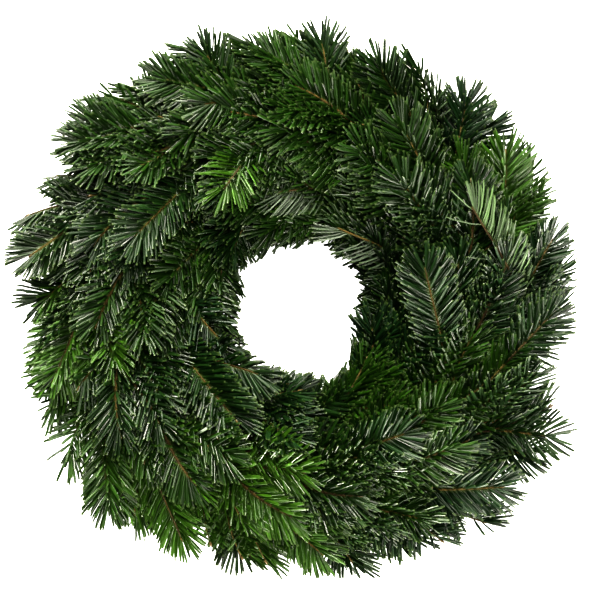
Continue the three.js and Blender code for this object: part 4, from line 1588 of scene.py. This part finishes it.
class WREATH_OT_stage(bpy.types.Operator):
    """Set the pale floor and background, the soft lamps, and the camera straight above the wreath"""

    bl_idname = "wreath.stage"
    bl_label = "Stage"

    def execute(self, context):
        values = scene_values().studio
        self.set_papers(values)
        for name, place, size, power, share in softboxes:
            deselect_all()
            bpy.ops.object.light_add(type="AREA", location=place)
            lamp = bpy.context.object
            lamp.name = name
            lamp.data.shape = "SQUARE"
            lamp.data.size = size
            lamp.data.energy = getattr(values, power) * share
            lamp.data.color = values.lamp_colour
            lamp.rotation_euler = (Vector(lamp_aim) - Vector(place)).to_track_quat("-Z", "Y").to_euler()
        world = context.scene.world or bpy.data.worlds.new("studio")
        context.scene.world = world
        world.use_nodes = True
        air = world.node_tree.nodes["Background"]
        air.inputs["Color"].default_value = (1, 1, 1, 1)
        air.inputs["Strength"].default_value = values.air_glow
        self.set_camera(context.scene, values)
        return {"FINISHED"}

    def set_papers(self, values):
        """A floor under the wreath, and a dome of the same pale paper all round it."""
        deselect_all()
        bpy.ops.mesh.primitive_plane_add(size=floor_size, location=(0, 0, -floor_drop))
        floor = active_piece("floor")
        settle(floor)
        deselect_all()
        bpy.ops.mesh.primitive_uv_sphere_add(
            segments=48, ring_count=24, radius=dome_radius, location=(0, 0, 0)
        )
        backdrop = active_piece("backdrop")
        bpy.ops.object.shade_smooth()
        settle(backdrop)
        for paper in (floor, backdrop):
            material = lit_paper(paper.name, values.floor_glow, one_sided=paper is floor)
            paper.data.materials.append(material)
            paper.visible_diffuse = paper is floor
            paper.visible_glossy = False
            paper.visible_shadow = False

    def set_camera(self, scene, values):
        """A camera that looks straight down, with the wreath where the photo has it."""
        low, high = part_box("straw_ring")
        deselect_all()
        aim = Vector(((low[0] + high[0]) / 2 + values.aim_x, (low[1] + high[1]) / 2 + values.aim_y, 0))
        bpy.ops.object.camera_add(location=(aim.x, aim.y, values.camera_height), rotation=(0, 0, 0))
        camera = bpy.context.object
        camera.name = "photo_camera"
        camera.data.sensor_width = sensor_width_mm
        across = values.view_width / (values.camera_height - values.view_level)
        camera.data.lens = sensor_width_mm / across
        camera.data.clip_start = 0.05
        camera.data.clip_end = 20
        scene.camera = camera
        scene.view_settings.view_transform = "Standard"
        scene.view_settings.look = picture_look
        scene.view_settings.gamma = picture_gamma


def number_of(name, description, default, **more):
    return bpy.props.FloatProperty(name=name, description=description, default=default, **more)


def length_of(name, description, default):
    return number_of(name, description, default, unit="LENGTH", subtype="DISTANCE", precision=5)


def angle_of(name, description, degrees):
    return number_of(name, description, math.radians(degrees), unit="ROTATION")


def power_of(name, description, watts):
    return number_of(name, description, watts, unit="POWER")


def count_of(name, description, default, least=1):
    return bpy.props.IntProperty(name=name, description=description, default=default, min=least)


def colour_of(name, description, default):
    return bpy.props.FloatVectorProperty(
        name=name, description=description, subtype="COLOR", size=3, min=0, max=1, default=default
    )


def group_of(kind, name, description):
    return bpy.props.PointerProperty(type=kind, name=name, description=description)


class NeedleValues(bpy.types.PropertyGroup):
    length: length_of("Length", "Length of a full needle", 0.024)
    width: length_of("Width", "Width of a needle's blade", 0.00188)
    thickness: length_of("Thickness", "Thickness of a needle's blade", 0.0007)
    brush: length_of("Brush", "How much of a twig's end has its needles swept forward", 0.01)
    past_box: length_of("Past the solids", "How far needles may stand out past the solids' own box", 0.004)
    past_top: length_of("Past the top", "How far needles may stand up past the solids' own box", 0.002)
    per_mm: number_of("Needles per millimetre", "How many needles grow on a millimetre of twig", 1.75)
    lean: angle_of("Lean", "Angle between a side needle and its twig", 56)
    crowding: number_of("Crowding", "How much closer needles stand at a twig's end, 1 for not at all", 1.3)
    twist: angle_of("Twist", "How far needles are turned about themselves", 12)


class TwigValues(bpy.types.PropertyGroup):
    bud_length: length_of("Bud length", "Length of the bud at a twig's end", 0.0045)


class StrawValues(bpy.types.PropertyGroup):
    stalks: count_of("Stalks", "How many stalks lie on the ring", 420)
    stalk_radius: length_of("Stalk radius", "Radius of a middling stalk", 0.0013)
    thread_turns: count_of("Thread turns", "How often the thread goes round the ring", 66)
    thread_radius: length_of("Thread radius", "Radius of the thread", 0.0003)


class WireValues(bpy.types.PropertyGroup):
    corner: length_of("Corner", "How far from a corner the wire begins to bend", 0.0025)
    sides: count_of("Sides", "Sides of the wire's round section", 8, least=3)


class ColourValues(bpy.types.PropertyGroup):
    blue_green: colour_of("Blue-green", "Needles of the bluest sprigs", (0.006, 0.025, 0.006))
    dark_green: colour_of("Dark green", "Most needles", (0.0085, 0.028, 0.0022))
    mid_green: colour_of("Middle green", "Needles of the fresher sprigs", (0.017, 0.05, 0.003))
    young_green: colour_of("Young green", "Needles of the youngest sprigs", (0.05, 0.12, 0.009))
    needle_foot: colour_of("Needle foot", "The pale foot of a needle", (0.06, 0.085, 0.02))
    # A painted highlight: this colour stands both for the tip's own slightly paler tone and for light caught
    # on the blunt tip.
    needle_tip_highlight: colour_of("Needle tip", "The pale blunt tip of a needle", (0.07, 0.11, 0.03))
    underside: colour_of("Underside", "The two bands under a needle", (0.21, 0.255, 0.19))
    olive_bark: colour_of("Olive bark", "Bark of this year's twigs", (0.08, 0.072, 0.016))
    orange_bark: colour_of("Orange bark", "Bark of older twigs", (0.125, 0.085, 0.022))
    dark_bark: colour_of("Dark bark", "Bark in its folds", (0.06, 0.04, 0.016))
    bud: colour_of("Bud", "Bud scales", (0.06, 0.022, 0.01))
    straw: colour_of("Straw", "Most stalks", (0.46, 0.31, 0.12))
    straw_pale: colour_of("Pale straw", "The palest stalks", (0.66, 0.52, 0.26))
    straw_dark: colour_of("Dark straw", "The darkest stalks", (0.2, 0.12, 0.04))
    thread: colour_of("Thread", "Yarn round the straw", (0.5, 0.44, 0.3))
    wire: colour_of("Wire", "Lacquer of the binding wire", (0.02, 0.05, 0.025))
    wire_rubbed: colour_of("Rubbed wire", "Where the lacquer is thin", (0.09, 0.1, 0.07))


class StudioValues(bpy.types.PropertyGroup):
    key_power: power_of("Key", "Power of the key softbox", 50)
    fill_power: power_of("Fill", "Power of the fill softbox", 30)
    top_power: power_of("Top", "Power of the top softbox", 22)
    low_power: power_of("Low", "Power of the low softbox in front, of which the other two have a share", 50)
    lamp_colour: colour_of("Lamp colour", "Colour of every lamp", (1.0, 0.97, 0.88))
    air_glow: number_of("Air glow", "Even light from all round", 0.008)
    floor_glow: number_of("Floor glow", "Light of the lit paper itself", 1.0)
    aim_x: length_of("Aim across", "Where the camera aims, from the ring's middle", 0.00264)
    aim_y: length_of("Aim up", "Where the camera aims, from the ring's middle", 0.00198)
    camera_height: length_of("Camera height", "Height of the camera above the floor", 1.15)
    view_level: length_of("View level", "The height at which the view is as wide as it says", 0.045)
    view_width: length_of("View width", "Width of the camera's view at that height", 0.396)


class WreathValues(bpy.types.PropertyGroup):
    needles: group_of(NeedleValues, "Needles", "Sizes of the needles")
    twigs: group_of(TwigValues, "Twigs", "Sizes of the twigs")
    straw: group_of(StrawValues, "Straw", "Sizes of the straw ring")
    wire: group_of(WireValues, "Wire", "Sizes of the binding wire")
    colours: group_of(ColourValues, "Colours", "Colours of every finish")
    studio: group_of(StudioValues, "Studio", "Lights and camera")


class WREATH_PT_panel(bpy.types.Panel):
    """Lists the wreath's pieces and their values"""

    bl_idname = "WREATH_PT_panel"
    bl_label = "Fir wreath"
    bl_space_type = "VIEW_3D"
    bl_region_type = "UI"
    bl_category = "Wreath"

    def draw(self, context):
        layout = self.layout
        values = context.scene.wreath
        layout.operator(WREATH_OT_straw_ring.bl_idname)
        layout.operator(WREATH_OT_binding_wire.bl_idname)
        for row in rows:
            title = f"{row['name'].capitalize()} sprigs"
            layout.operator(WREATH_OT_sprigs.bl_idname, text=title).row = row["name"]
        layout.operator(WREATH_OT_stage.bl_idname)
        for part in WreathValues.__annotations__:
            group = getattr(values, part)
            box = layout.box()
            for name in group.__annotations__:
                box.prop(group, name)


classes = [
    NeedleValues,
    TwigValues,
    StrawValues,
    WireValues,
    ColourValues,
    StudioValues,
    WreathValues,
    WREATH_OT_straw_ring,
    WREATH_OT_binding_wire,
    WREATH_OT_sprigs,
    WREATH_OT_stage,
    WREATH_PT_panel,
]


def register():
    for kind in classes:
        bpy.utils.register_class(kind)
    bpy.types.Scene.wreath = bpy.props.PointerProperty(type=WreathValues)


def unregister():
    del bpy.types.Scene.wreath
    for kind in reversed(classes):
        bpy.utils.unregister_class(kind)


def build_wreath():
    """Registers the add-on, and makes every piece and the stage."""
    register()
    bpy.ops.wreath.straw_ring()
    bpy.ops.wreath.binding_wire()
    for row in rows:
        bpy.ops.wreath.sprigs(row=row["name"])
    bpy.ops.wreath.stage()


if __name__ == "__main__":
    build_wreath()
